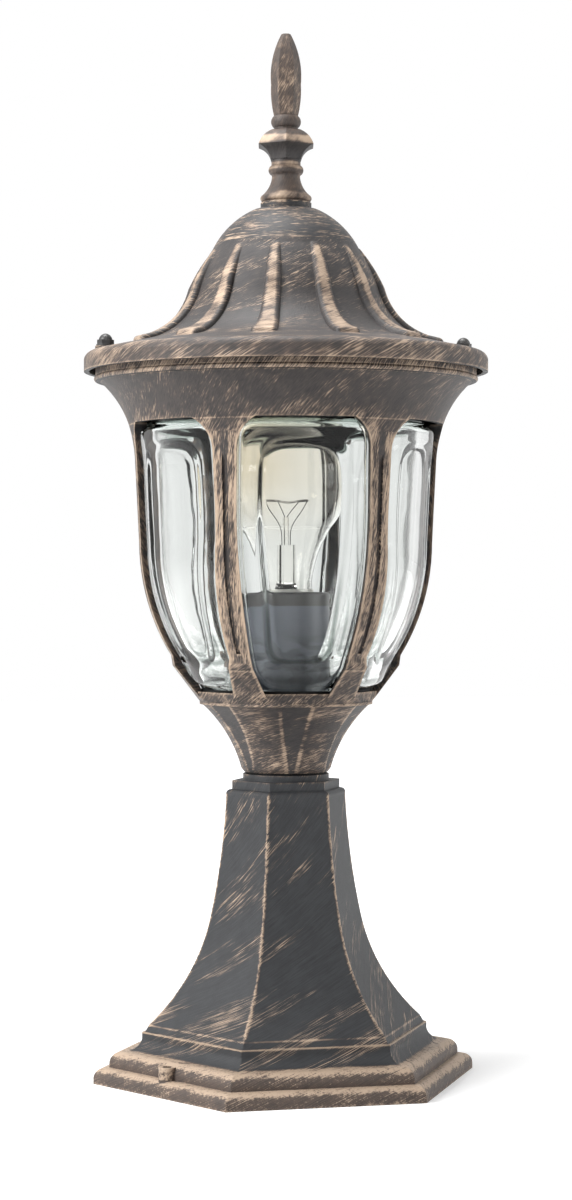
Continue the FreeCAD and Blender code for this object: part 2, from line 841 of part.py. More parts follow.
collar_top = "dome_top_height + roof_collar_height"
rim_radius = "cornice_radius + rim_clearance + rim_wall"
rim_top_radius = f"{rim_radius} - rim_top_inset"
brim_slope = f"(brim_height - rim_top_height) / ({rim_top_radius} - brim_radius)"
# the nuts' seats stand clear of the sloping brim up to their inner edge
nut_seat_inset = f"{rim_top_radius} - ({stud_reach}) + nut_seat_radius + nut_seat_margin"
nut_seat_height = f"rim_top_height + {brim_slope} * ({nut_seat_inset})"


def flutes():
    """Twelve raised flutes down the dome, each a narrow sector with rounded edges."""
    body = new_body("flutes")
    sketch = sketch_on(body, "XZ_Plane")
    fall = f"flute_foot * {brim_slope}"
    nose = ("brim_radius + flute_foot - flute_rise / 2", f"brim_height + flute_rise - {fall}")
    outside = [
        ("brim_radius + flute_foot", f"brim_height - roof_wall / 2 - {fall}"),
        nose,
        ("brim_radius", "brim_height + flute_rise"),
        ("dome_neck_radius + flute_rise", "dome_neck_height + flute_rise / 3",
         "right", "dome_flare - flute_rise"),
        ("dome_side_radius + flute_top_rise", "dome_side_height", "left", "dome_side_curve"),
        ("dome_side_radius - roof_wall", "dome_side_height + flute_top_cut"),
    ]
    inside = [
        ("dome_side_radius - roof_wall", "dome_side_height"),
        ("dome_neck_radius - roof_wall / 2", "dome_neck_height - roof_wall / 4",
         "right", "dome_side_curve"),
        ("brim_radius - roof_wall / 2", "brim_height - roof_wall / 2",
         "left", "dome_flare + roof_wall / 2"),
    ]
    draw(sketch, outside + inside)
    sector = revolve(body, sketch, "flute_angle")
    doc.recompute()
    spots = [(value(step[0]), value(step[1])) for step in outside]
    rounding = body.newObject("PartDesign::Fillet", "Rounding")
    ridge = list(zip(spots, spots[1:-1])) + [(spots[1], spots[1])]
    rounding.Base = (sector, edges_between(sector.Shape, ridge))
    bind(rounding, Radius="flute_round")
    ring = around(body, rounding, flute_count)
    ring.TransformMode = "Whole shape"
    put(body, turn=flute_turn)
    return body


def roof():
    body = new_body("roof_wall")
    wall = sketch_on(body, "XZ_Plane")
    seat_inner = "cornice_radius - roof_seat_width"
    ceiling = f"{collar_top} - roof_crown_wall"
    draw(wall, [
        (f"{rim_radius} - rim_wall", "-rim_drop"),
        (rim_radius, "-rim_drop"),
        (rim_radius, "-rim_edge_height"),
        (rim_top_radius, "rim_top_height", "left", "rim_round"),
        ("brim_radius", "brim_height"),
        ("dome_neck_radius", "dome_neck_height", "right", "dome_flare"),
        ("dome_side_radius", "dome_side_height", "left", "dome_side_curve"),
        ("dome_top_radius", "dome_top_height", "left", "dome_curve"),
        ("roof_collar_radius", "dome_top_height"),
        ("roof_collar_radius", collar_top),
        ("finial_stud_radius", collar_top),
        ("finial_stud_radius", ceiling),
        ("roof_collar_radius - roof_wall", ceiling),
        ("dome_side_radius - roof_wall", "dome_side_height - roof_wall / 2", "right", "dome_curve"),
        ("dome_neck_radius - roof_wall", "dome_neck_height - roof_wall / 2",
         "right", "dome_side_curve - roof_wall"),
        ("brim_radius - roof_wall / 2", "brim_height - roof_wall", "left", "dome_flare + roof_wall"),
        (seat_inner, "rim_top_height"),
        (seat_inner, "0"),
        (f"{rim_radius} - rim_wall", "0"),
    ])
    revolve(body, wall)
    seats = sketch_on(body, "XY_Plane")
    circle(seats, stud_reach, "0", "nut_seat_radius")
    around(body, extrude(body, seats, nut_seat_height), 2)
    hole = sketch_on(body, "XY_Plane", nut_seat_height)
    circle(hole, stud_reach, "0", "stud_radius")
    around(body, extrude(body, hole, f"{nut_seat_height} + {past}", "Pocket"), 2)
    casting = join("roof", [body, flutes()])
    put(casting, z=roof_level, turn="head_turn")
    gasket = washer("roof_gasket", "cornice_radius", "cornice_radius - roof_gasket_width",
                    "roof_gasket_height")
    put(gasket, z=f"{cage_level} + {cage_top}", turn="head_turn")
    return [casting, gasket]


def pair(label, shape, level, height):
    """A fastener and its twin across the roof."""
    put(shape, stud_reach, z=height)
    both = group(label, [shape, other_side(shape)])
    put(both, z=level, turn="head_turn")
    return both


def roof_fasteners():
    stud_foot = "-(roof_gasket_height + stud_depth)"
    nut_level = f"{nut_seat_height} + roof_washer_height"
    stud = rod("stud", "stud_radius", f"{nut_level} + cap_nut_bore_depth - {stud_foot}")
    disc = washer("roof_washer", "roof_washer_radius", "stud_radius", "roof_washer_height")
    nut = new_body("cap_nut")
    hexagonal = sketch_on(nut, "XY_Plane")
    draw(hexagonal, hexagon("cap_nut_flats / 2"))
    extrude(nut, hexagonal, "cap_nut_hex_height")
    dome = sketch_on(nut, "XZ_Plane")
    draw(dome, [("0", "cap_nut_hex_height"), ("cap_nut_dome_radius", "cap_nut_hex_height"),
                ("0", "cap_nut_hex_height + cap_nut_dome_height", "left", "cap_nut_dome_curve")])
    revolve(nut, dome)
    bore = sketch_on(nut, "XY_Plane")
    circle(bore, "0", "0", "stud_radius")
    extrude(nut, bore, "cap_nut_bore_depth", "Pocket", reverse=True)
    return [
        pair("roof_studs", stud, roof_level, stud_foot),
        pair("roof_washers", disc, roof_level, nut_seat_height),
        pair("cap_nuts", nut, roof_level, nut_level),
    ]


# Finial casting and the stud that holds it
finial_level = f"{roof_level} + {collar_top}"
sweep_level = "flange_height + flange_swell * flange_round"
waist_top = f"{sweep_level} + sweep_height + waist_height"
bead_level = f"{waist_top} + bead_height"
bulge_level = f"{bead_level} + stem_top_height"
ring_level = f"{bulge_level} + bulge_under_height + bulge_over_height"
spear_level = f"{ring_level} + ring_neck_height + ring_height"


def finial():
    lower = turned("finial_lower", [
        ("0", "0"),
        ("flange_radius - flange_round / 2", "0"),
        ("flange_radius - flange_round / 2", "flange_height"),
        ("flange_radius - flange_round / 2", sweep_level, "left", "flange_round"),
        ("waist_radius", f"{sweep_level} + sweep_height", "right", "sweep_curve"),
        ("bead_neck_radius", waist_top),
        ("bead_neck_radius", bead_level, "left", "bead_round"),
        ("bead_neck_radius", bulge_level),
        ("0", bulge_level),
    ])
    bulge = six_sided("finial_bulge", "bulge_flat", "bulge_under_height + bulge_over_height", [
        ("bulge_foot_flat", "0"),
        ("bulge_flat", "bulge_under_height", "right", "bulge_under_curve"),
        ("bulge_top_flat", "bulge_under_height + bulge_over_height", "left", "bulge_over_curve"),
    ])
    put(bulge, z=bulge_level, turn=bulge_turn)
    ring = turned("finial_ring", [
        ("0", "0"),
        ("ring_neck_radius", "0"),
        ("ring_neck_radius", "ring_neck_height"),
        ("ring_neck_radius", "ring_neck_height + ring_height", "left", "ring_round"),
        ("0", "ring_neck_height + ring_height"),
    ])
    put(ring, z=ring_level)
    spear = six_sided("finial_spear", "spear_flat", "spear_foot_height + spear_tip_height", [
        ("spear_foot_flat", "0"),
        ("spear_flat", "spear_foot_height", "left", "spear_foot_curve"),
        ("spear_tip_flat", "spear_foot_height + spear_tip_height", "left", "spear_tip_curve"),
    ])
    put(spear, z=spear_level)
    hole = primitive("Cylinder", "StudHole", Radius="finial_stud_radius", Height="finial_stud_depth")
    casting = cut("finial", join("FinialSolid", [lower, bulge, ring, spear]), hole)
    put(casting, z=finial_level, turn="finial_turn")
    washer_level = f"{finial_level} - roof_crown_wall - finial_washer_height"
    nut_level = f"{washer_level} - finial_nut_height"
    stud_level = f"{nut_level} - finial_stud_tail"
    length = f"{finial_level} + finial_stud_depth - ({stud_level})"
    stud = rod("finial_stud", "finial_stud_radius", length)
    put(stud, z=stud_level)
    disc = washer("finial_washer", "finial_washer_radius", "finial_stud_radius", "finial_washer_height")
    put(disc, z=washer_level)
    nut = hex_nut("finial_nut", "finial_nut_flats", "finial_stud_radius", "finial_nut_height")
    put(nut, z=nut_level)
    return [casting, stud, disc, nut]


# Tube, nuts, washers and seal that tie base, cage and lampholder together
cup_nut_level = f"{cage_level} + cup_floor + washer_height"
holder_level = f"{cup_nut_level} + nut_height + holder_rise"
tag_level = f"{base_ceiling} - washer_height - tag_height"
base_nut_level = f"{tag_level} - nut_height"
tube_level = f"{base_nut_level} - tube_tail"


def neck():
    seal = washer("neck_gasket", "neck_ring_radius", "neck_ring_bore", "neck_ring_height")
    put(seal, z=base_top)
    length = f"{holder_level} + holder_entry - ({tube_level})"
    tube = washer("threaded_tube", "tube_radius", "tube_bore", length)
    put(tube, z=tube_level)
    nuts = []
    for level in (base_nut_level, cup_nut_level, f"{holder_level} - nut_height"):
        nut = hex_nut("nut", "nut_flats", "tube_radius", "nut_height")
        put(nut, z=level)
        nuts.append(nut)
    washers = []
    for level in (f"{base_ceiling} - washer_height", f"{cage_level} + cup_floor"):
        disc = washer("washer", "washer_radius", "tube_radius", "washer_height")
        put(disc, z=level)
        washers.append(disc)
    return [seal, tube, group("tube_nuts", nuts), group("tube_washers", washers)]


# Lampholder
insert_top = "insert_seat + insert_height"
lamp_level = f"{holder_level} + {insert_top} + contact_height"


def lampholder():
    bore = "holder_radius - holder_wall"
    cap = turned("holder_cap", [
        ("tube_radius", "0"),
        ("holder_foot_radius", "0"),
        ("holder_foot_radius", "holder_entry / 2"),
        ("holder_radius", "insert_seat", "left", "holder_dome"),
        ("holder_radius", "holder_cap_height"),
        (bore, "holder_cap_height"),
        (bore, "insert_seat"),
        (f"{bore} - holder_wall", "insert_seat"),
        ("holder_foot_radius", "holder_entry"),
        ("tube_radius", "holder_entry"),
    ])
    skirt = turned("holder_skirt", [
        (bore, "holder_cap_height"),
        ("holder_radius", "holder_cap_height"),
        ("holder_radius", "holder_height - holder_round"),
        ("holder_radius - holder_round", "holder_height", "left", "holder_round"),
        ("holder_mouth", "holder_height"),
        ("holder_mouth", "holder_height - holder_lip"),
        (bore, "holder_height - holder_lip"),
    ])
    insert = turned("holder_insert", [
        ("0", "insert_seat"),
        (f"{bore} - insert_clearance", "insert_seat"),
        (f"{bore} - insert_clearance", insert_top),
        ("0", insert_top),
    ])
    shell = washer("holder_screw_shell", "screw_shell_radius", "screw_shell_radius - screw_shell_wall",
                   "screw_shell_height")
    contact = new_body("holder_contact")
    strip = sketch_on(contact, "XZ_Plane")
    bend = "contact_length / 2"
    draw(strip, [
        ("-contact_length", "0"),
        (f"-{bend}", "0"),
        ("-contact_tip", "contact_height - contact_thickness"),
        ("contact_tip", "contact_height - contact_thickness"),
        ("contact_tip", "contact_height"),
        ("-contact_tip - contact_thickness / 2", "contact_height"),
        (f"-{bend} - contact_thickness / 2", "contact_thickness"),
        ("-contact_length", "contact_thickness"),
    ])
    extrude(contact, strip, "contact_width", symmetric=True)
    for piece in (cap, skirt, insert):
        put(piece, z=holder_level)
    for piece in (shell, contact):
        put(piece, z=f"{holder_level} + {insert_top}")
    return [cap, skirt, insert, shell, contact]


# Lamp
def lamp():
    insulator_top = "lamp_contact_height + lamp_insulator_height"
    taper_top = f"{insulator_top} + lamp_cap_taper"
    neck_foot = "lamp_cap_height - bulb_neck_tuck"
    contact = turned("lamp_contact", [
        ("0", "0"),
        ("lamp_contact_radius / 2", "0"),
        ("lamp_contact_radius", "lamp_contact_height"),
        ("0", "lamp_contact_height"),
    ])
    insulator = turned("lamp_insulator", [
        ("0", "lamp_contact_height"),
        ("lamp_contact_radius", "lamp_contact_height"),
        ("lamp_insulator_radius", insulator_top),
        ("0", insulator_top),
    ])
    cap = turned("lamp_cap", [
        ("lamp_contact_radius", insulator_top),
        ("lamp_insulator_radius", insulator_top),
        ("lamp_cap_radius", taper_top),
        ("lamp_cap_radius", "lamp_cap_height"),
        ("lamp_cap_radius - lamp_cap_wall", "lamp_cap_height"),
        ("lamp_cap_radius - lamp_cap_wall", taper_top),
        ("lamp_contact_radius", f"{insulator_top} + lamp_cap_wall"),
    ])
    bulb_top = "bulb_belly_height + bulb_radius"
    envelope = turned("lamp_envelope", [
        ("bulb_neck_radius", neck_foot),
        ("bulb_neck_radius", "bulb_neck_height"),
        ("bulb_shoulder_radius", "bulb_shoulder_height", "right", "bulb_flare"),
        ("bulb_radius", "bulb_belly_height", "left", "bulb_radius"),
        ("0", bulb_top, "left", "bulb_radius"),
        ("0", f"{bulb_top} - bulb_wall"),
        ("bulb_radius - bulb_wall", "bulb_belly_height", "right", "bulb_radius - bulb_wall"),
        ("bulb_shoulder_radius - bulb_wall", "bulb_shoulder_height", "right", "bulb_radius - bulb_wall"),
        ("bulb_neck_radius - bulb_wall", "bulb_neck_height", "left", "bulb_flare + bulb_wall"),
        ("bulb_neck_radius - bulb_wall", neck_foot),
    ])
    foot_radius = "bulb_neck_radius - bulb_wall"
    stem = turned("lamp_stem", [
        ("0", neck_foot),
        (foot_radius, neck_foot),
        (foot_radius, f"{neck_foot} + stem_foot_height"),
        ("stem_radius", f"{neck_foot} + stem_foot_height + stem_flare", "right", "stem_flare"),
        ("stem_radius", "stem_height"),
        ("stem_rod_radius", "stem_height"),
        ("stem_rod_radius", "stem_rod_height"),
        ("0", "stem_rod_height"),
    ])
    for piece in (contact, insulator, cap, envelope, stem):
        put(piece, z=lamp_level)
    return [contact, insulator, cap, envelope, stem, *filament()]


def filament():
    """Filament bowed towards the front, on two lead wires and two supports."""
    radius = value("lamp_wire_radius")
    half = value("filament_half")
    sag = value("filament_sag")
    level = value("filament_height")
    under = level - value("filament_radius")
    rod_top = value("stem_rod_height")
    stem_top = value("stem_height")
    spread = value("lamp_wire_spread")
    rod_edge = value("stem_rod_radius") / 2
    knee = (stem_top + under) / 2
    wires = []
    for side in (-1, 1):
        lead = [(side * spread, 0, stem_top), (side * spread, 0, knee),
                (side * half, 0, (knee + under) / 2), (side * half, 0, under)]
        prop = [(side * rod_edge, 0, rod_top), (side * rod_edge, 0, (rod_top + under) / 2),
                (side * half / 2, -sag, (rod_top + under) / 2), (side * half / 2, -sag, under)]
        wires += [round_bar(lead, radius), round_bar(prop, radius)]
    bow = [(-half, 0, level), (-half / 2, -sag, level), (half / 2, -sag, level), (half, 0, level)]
    coil = round_bar(bow, value("filament_radius"))
    return [
        shaped("lamp_wires", Part.makeCompound(wires), lamp_level),
        shaped("lamp_filament", coil, lamp_level),
    ]


# Connection block on its boss in the base, and the leads
block_front = "boss_face - block_depth"
block_top = "block_centre + block_height / 2"


def connection_block():
    body = primitive("Box", "BlockBody", "-block_width / 2", block_front, "block_centre - block_height / 2",
                     Length="block_width", Width="block_depth", Height="block_height")
    holes = []
    clamps = []
    for column in (-1, 0, 1):
        for row in (-1, 1):
            x, z = f"{column} * block_pitch", f"block_centre + {row} * clamp_screw_rise"
            hole = primitive("Cylinder", "ClampHole", Radius="clamp_screw_radius",
                             Height="clamp_screw_sink + clamp_screw_length")
            lay_back(hole, x, block_front, z)
            screw = primitive("Cylinder", "ClampScrew", Radius="clamp_screw_radius",
                              Height="clamp_screw_length")
            lay_back(screw, x, f"{block_front} + clamp_screw_sink", z)
            holes.append(hole)
            clamps.append(screw)
    fixings = []
    for side in (-1, 1):
        x = f"{side} * block_pitch / 2"
        hole = turned("fixing_hole", fixing_outline("block_depth"))
        lay_back(hole, x, block_front, "block_centre")
        screw = turned("fixing_screw", fixing_outline("block_depth + fixing_screw_grip"))
        lay_back(screw, x, block_front, "block_centre")
        holes.append(hole)
        fixings.append(screw)
    block = cut("terminal_block", body, join("BlockHoles", holes))
    return [block, group("terminal_screws", clamps), group("terminal_fixing_screws", fixings)]


def fixing_outline(length):
    return [("0", "0"), ("fixing_head_radius", "0"), ("fixing_head_radius", "fixing_head_height"),
            ("fixing_screw_radius", "fixing_head_height"), ("fixing_screw_radius", length), ("0", length)]


def wiring():
    tag = new_body("earth_tag")
    ring = sketch_on(tag, "XY_Plane")
    circle(ring, "0", "0", "nut_flats / 2")
    circle(ring, "0", "0", "tube_radius")
    extrude(tag, ring, "tag_height")
    tongue = sketch_on(tag, "XY_Plane")
    root = "(nut_flats / 2 + tube_radius) / 2"
    draw(tongue, [("-tag_width / 2", root), ("tag_width / 2", root), ("tag_width / 2", "tag_reach"),
                  ("-tag_width / 2", "tag_reach")])
    extrude(tag, tongue, "tag_height")
    put(tag, z=tag_level)
    top = value(block_top)
    bend = value(f"{base_ceiling} - lead_drop")
    depth = value("boss_face - block_depth / 2")
    radius = value("lead_radius")
    leads = []
    for label, side in (("lead_live", -1), ("lead_neutral", 1)):
        near = side * value("lead_spread")
        far = side * value("block_pitch")
        route = [(near, 0, value(f"{holder_level} + insert_seat")), (near, 0, bend),
                 (far, depth, top + value("lead_rise")), (far, depth, top)]
        leads.append(shaped(label, round_bar(route, radius)))
    tip = value("tag_reach - tag_width / 2")
    middle = (bend + top) / 2
    route = [(0, tip, value(tag_level)), (0, tip, bend), (0, depth, middle), (0, depth, top)]
    leads.append(shaped("lead_earth", round_bar(route, radius)))
    return [tag, *leads]


subparts = []
subparts += base_pedestal()
subparts += lantern_cage()
subparts += glass_shade()
subparts += roof()
subparts += roof_fasteners()
subparts += finial()
subparts += neck()
subparts += lampholder()
subparts += lamp()
subparts += connection_block()
subparts += wiring()

doc.recompute()
failed = [thing.Label for thing in doc.Objects if "Invalid" in thing.State or "Error" in thing.State]
if failed:
    raise RuntimeError(f"not built: {failed}")
for part in subparts:
    if part.Shape.isNull() or not part.Shape.isValid():
        raise RuntimeError(f"{part.Label} has no valid shape")

os.makedirs("parts", exist_ok=True)
for part in subparts:
    part.Shape.exportStep(f"parts/{part.Label}.step")
    print(f"{part.Label}: {len(part.Shape.Solids)} solid, {part.Shape.Volume:.0f} mm3")
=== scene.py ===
import math
import bmesh
import bpy
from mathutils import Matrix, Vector, noise


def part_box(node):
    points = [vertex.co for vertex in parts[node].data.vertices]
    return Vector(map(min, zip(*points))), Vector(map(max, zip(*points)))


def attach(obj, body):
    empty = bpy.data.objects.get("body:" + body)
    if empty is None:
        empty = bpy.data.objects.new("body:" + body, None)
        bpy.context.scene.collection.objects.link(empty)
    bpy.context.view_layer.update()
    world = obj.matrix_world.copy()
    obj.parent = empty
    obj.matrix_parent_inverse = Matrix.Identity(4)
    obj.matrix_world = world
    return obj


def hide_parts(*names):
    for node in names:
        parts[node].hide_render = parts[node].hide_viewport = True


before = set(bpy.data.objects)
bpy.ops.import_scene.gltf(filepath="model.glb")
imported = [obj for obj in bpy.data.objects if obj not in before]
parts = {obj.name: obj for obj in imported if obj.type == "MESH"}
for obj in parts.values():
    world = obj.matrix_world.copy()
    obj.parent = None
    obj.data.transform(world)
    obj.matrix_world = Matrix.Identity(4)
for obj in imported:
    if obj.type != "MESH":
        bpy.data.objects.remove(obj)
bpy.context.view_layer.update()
print("frame:", len(parts), "nodes")

headTurn = math.radians(-6)  # cage, glass and roof sit a little askew on the base
sixth = math.radians(60)  # one side of the hexagon
mm = 0.001
bevelSamples = 4


# node tree helpers

def feed(tree, socket, value):  # link another node's output, or set a constant
    if isinstance(value, bpy.types.NodeSocket):
        tree.links.new(value, socket)
    else:
        socket.default_value = value


def addNode(tree, kind, inputs=None, **settings):
    node = tree.nodes.new("ShaderNode" + kind)
    for name, value in settings.items():
        setattr(node, name, value)
    for name, value in (inputs or {}).items():
        feed(tree, node.inputs[name], value)
    return node


def calc(tree, operation, *values):
    node = addNode(tree, "Math", operation=operation)
    for socket, value in zip(node.inputs, values):
        feed(tree, socket, value)
    return node.outputs[0]


def inTurn(tree, operation, values):
    result = values[0]
    for value in values[1:]:
        result = calc(tree, operation, result, value)
    return result


def total(tree, *values):
    return inTurn(tree, "ADD", values)


def times(tree, *values):
    return inTurn(tree, "MULTIPLY", values)


def largest(tree, *values):
    return inTurn(tree, "MAXIMUM", values)


def less(tree, value, taken):
    return calc(tree, "SUBTRACT", value, taken)


def notIn(tree, value):
    return less(tree, 1.0, value)


def unsigned(tree, value):
    return calc(tree, "ABSOLUTE", value)


def ramp(tree, value, low, high):  # 0 below low, 1 above high, smooth between
    node = addNode(tree, "MapRange", {"Value": value, "From Min": low, "From Max": high},
                   interpolation_type="SMOOTHSTEP")
    return node.outputs["Result"]


def band(tree, value, low, high, soft):  # 1 between low and high
    return less(tree, ramp(tree, value, low - soft, low + soft), ramp(tree, value, high - soft, high + soft))


def straight(tree, value, first, last):  # straight line from one (place, size) to another
    node = addNode(tree, "MapRange", {"Value": value, "From Min": first[0], "From Max": last[0],
                                      "To Min": first[1], "To Max": last[1]})
    return node.outputs["Result"]


def mixColours(tree, factor, *colours):
    ready = [colour if isinstance(colour, bpy.types.NodeSocket) else (*colour, 1) for colour in colours]
    return addNode(tree, "Mix", {"Factor": factor, 6: ready[0], 7: ready[1]}, data_type="RGBA").outputs[2]


def mixValues(tree, factor, first, second):
    return addNode(tree, "Mix", {"Factor": factor, 2: first, 3: second}, data_type="FLOAT").outputs[0]


def stepped(tree, value, first, *changes):  # a value that changes at each of a few places
    result = first
    for low, high, after in changes:
        result = mixValues(tree, ramp(tree, value, low, high), result, after)
    return result


def noiseAt(tree, vector, scale, detail, rough):
    node = addNode(tree, "TexNoise", {"Vector": vector, "Scale": scale, "Detail": detail, "Roughness": rough})
    return node.outputs["Fac"]


def objectPlace(tree):
    return addNode(tree, "TexCoord").outputs["Object"]


def parted(tree, vector):
    return addNode(tree, "SeparateXYZ", {"Vector": vector}).outputs


def stretched(tree, vector, by):
    return addNode(tree, "VectorMath", {0: vector, 1: by}, operation="MULTIPLY").outputs["Vector"]


def lengthOf(tree, vector):
    return addNode(tree, "VectorMath", {0: vector}, operation="LENGTH").outputs["Value"]


def newGroup(name, inputs, values, colours=()):
    group = bpy.data.node_groups.new(name, "ShaderNodeTree")
    for label, value in inputs.items():
        socket = group.interface.new_socket(label, in_out="INPUT", socket_type="NodeSocketFloat")
        socket.default_value = value
    for labels, kind in ((values, "NodeSocketFloat"), (colours, "NodeSocketColor")):
        for label in labels:
            group.interface.new_socket(label, in_out="OUTPUT", socket_type=kind)
    return group, group.nodes.new("NodeGroupInput").outputs, group.nodes.new("NodeGroupOutput").inputs


def placeGroup(tree, group, **values):
    node = tree.nodes.new("ShaderNodeGroup")
    node.node_tree = group
    for name, value in values.items():
        feed(tree, node.inputs[name], value)
    return node.outputs


def newMaterial(name):
    material = bpy.data.materials.new(name)
    material.use_nodes = True
    tree = material.node_tree
    return material, tree, tree.nodes["Principled BSDF"]


def dress(material, *names):
    for name in names:
        data = parts[name].data
        data.materials.clear()
        data.materials.append(material)


# where a shaded point lies

def roundTheAxis(tree):  # angle from -Y towards +X, radius and height
    split = parted(tree, objectPlace(tree))
    angle = calc(tree, "ARCTAN2", split["X"], times(tree, split["Y"], -1))
    flat = addNode(tree, "CombineXYZ", {"X": split["X"], "Y": split["Y"]}).outputs[0]
    return angle, lengthOf(tree, flat), split["Z"]


def nearest(tree, angle, step):  # number of the nearest of evenly spaced lines
    return calc(tree, "ROUND", calc(tree, "DIVIDE", angle, step))


def fold(tree, angle, step):  # signed angle to that line
    return less(tree, angle, times(tree, nearest(tree, angle, step), step))


def asideFrom(tree, radius, off):  # distance to either side of that line
    return times(tree, radius, unsigned(tree, calc(tree, "SINE", off)))


def facingUp(tree):
    return parted(tree, addNode(tree, "NewGeometry").outputs["Normal"])["Z"]


# shared effects

strokeKinds = {  # stretch of each
    "Streak": (1, 1, 1), "Bristle": (2.6, 2.6, 2.2), "Cluster": (0.05, 0.05, 0.36),
}
strokeNoise = {"detail": 2.0, "rough": 0.55}


def makeBrushStrokes():  # marks of a dry brush: thin streaks, finer bristle lines, and where they cluster
    group, given, result = newGroup("brushStrokes", {
        "Around": 0.0, "Level": 0.0, "Lean": 0.0, "Girth": 0.05, "Turn": 0.9,
        "Width": 0.0006, "Length": 0.014, "Seed": 0.0,
    }, strokeKinds)
    sine = calc(group, "SINE", given["Turn"])
    spin = calc(group, "DIVIDE", less(group, given["Around"], given["Lean"]), given["Girth"])
    reach = calc(group, "DIVIDE", times(group, given["Girth"], sine), given["Width"])
    along = calc(group, "DIVIDE", given["Level"], times(group, given["Length"], sine))
    spot = addNode(group, "CombineXYZ", {
        "X": times(group, calc(group, "COSINE", spin), reach),
        "Y": times(group, calc(group, "SINE", spin), reach),
        "Z": total(group, along, given["Seed"]),
    }).outputs[0]
    for name, stretch in strokeKinds.items():
        group.links.new(noiseAt(group, stretched(group, spot, stretch), 1.0, **strokeNoise), result[name])
    return group


rubbing = {"edge": (0.06, 0.5), "hollow": (0.12, 0.7), "samples": 6}


def makeEdgeRub():  # where a brush catches the raised edges, and where it never reaches
    group, given, result = newGroup("edgeRub", {"Reach": 0.002, "Depth": 0.006}, ["Edge", "Hollow"])
    inner = addNode(group, "AmbientOcclusion", {"Distance": given["Reach"]}, inside=True, only_local=True,
                    samples=rubbing["samples"])
    outer = addNode(group, "AmbientOcclusion", {"Distance": given["Depth"]}, only_local=True,
                    samples=rubbing["samples"])
    group.links.new(ramp(group, notIn(group, inner.outputs["AO"]), *rubbing["edge"]), result["Edge"])
    group.links.new(ramp(group, notIn(group, outer.outputs["AO"]), *rubbing["hollow"]), result["Hollow"])
    return group


graining = {"mottleShare": 0.09, "detail": 3.0, "mottleRough": 0.55, "skinRough": 0.62}


def makeGrain():  # fine mottling, the skin of a casting or a moulding
    group, given, result = newGroup("grain", {"Scale": 900.0, "Stretch": 1.0}, ["Mottle", "Skin"])
    split = parted(group, objectPlace(group))
    tall = times(group, split["Z"], given["Stretch"])
    spot = addNode(group, "CombineXYZ", {"X": split["X"], "Y": split["Y"], "Z": tall}).outputs[0]
    coarse = times(group, given["Scale"], graining["mottleShare"])
    mottle = noiseAt(group, spot, coarse, graining["detail"], graining["mottleRough"])
    skin = noiseAt(group, spot, given["Scale"], graining["detail"], graining["skinRough"])
    group.links.new(mottle, result["Mottle"])
    group.links.new(skin, result["Skin"])
    return group


brushStrokes = makeBrushStrokes()
edgeRub = makeEdgeRub()
grain = makeGrain()

# brushed castings: black paint, then antique copper dragged over it with a dry brush

paint = {
    "black": (0.019, 0.020, 0.022),
    "grey": (0.034, 0.036, 0.039),
    "brown": (0.12, 0.085, 0.066),
    "copper": (0.45, 0.34, 0.25),
    "hollow": (0.006, 0.006, 0.007),  # painted shade on the insides and undersides in the head, darker than the black paint
    "roughPaint": 0.54, "roughCopper": 0.5, "copperMetal": 0.25,
    "skinScale": 1400.0, "bump": 0.4, "bumpDepth": 0.0006, "skinRelief": 0.6, "copperRelief": 0.3,
}

brushing = {  # how the marks add up to a cover of copper
    "streakShare": 0.8, "hairLevel": -0.9,
    "gathered": (0.42, 0.6), "gatherGain": 1.4, "sparseSpan": 0.24, "thin": (0.55, 0.76),
    "clusterShare": 0.8, "patchLevel": -0.9, "cover": (0.12, 0.95),
    "wornBristle": 0.7, "wornMottle": 0.3, "worn": (0.36, 0.64), "glazeLeast": 0.5,
    # head and dusk: heights and mask where bare sides in the head take painted shade
    "brown": (0.0, 0.5), "copper": (0.2, 0.95), "head": (0.3, 0.312), "paintedShade": (0.0, 0.5),
    "facingIn": (-0.3, -0.05), "facingDown": (-0.97, -0.8),
}


def makeBareSides():  # insides and undersides, where no brush goes; in the head they also take painted shade
    group, given, result = newGroup("bareAndShadedSides", {"Share": 1.0}, ["Bare"])
    normal = addNode(group, "NewGeometry").outputs["Normal"]
    outwards = stretched(group, objectPlace(group), (1, 1, 0))
    outwards = addNode(group, "VectorMath", {0: outwards}, operation="NORMALIZE").outputs["Vector"]
    facing = addNode(group, "VectorMath", {0: outwards, 1: normal}, operation="DOT_PRODUCT").outputs["Value"]
    inside = notIn(group, ramp(group, facing, *brushing["facingIn"]))
    below = notIn(group, ramp(group, facingUp(group), *brushing["facingDown"]))
    group.links.new(times(group, largest(group, inside, below), given["Share"]), result["Bare"])
    return group


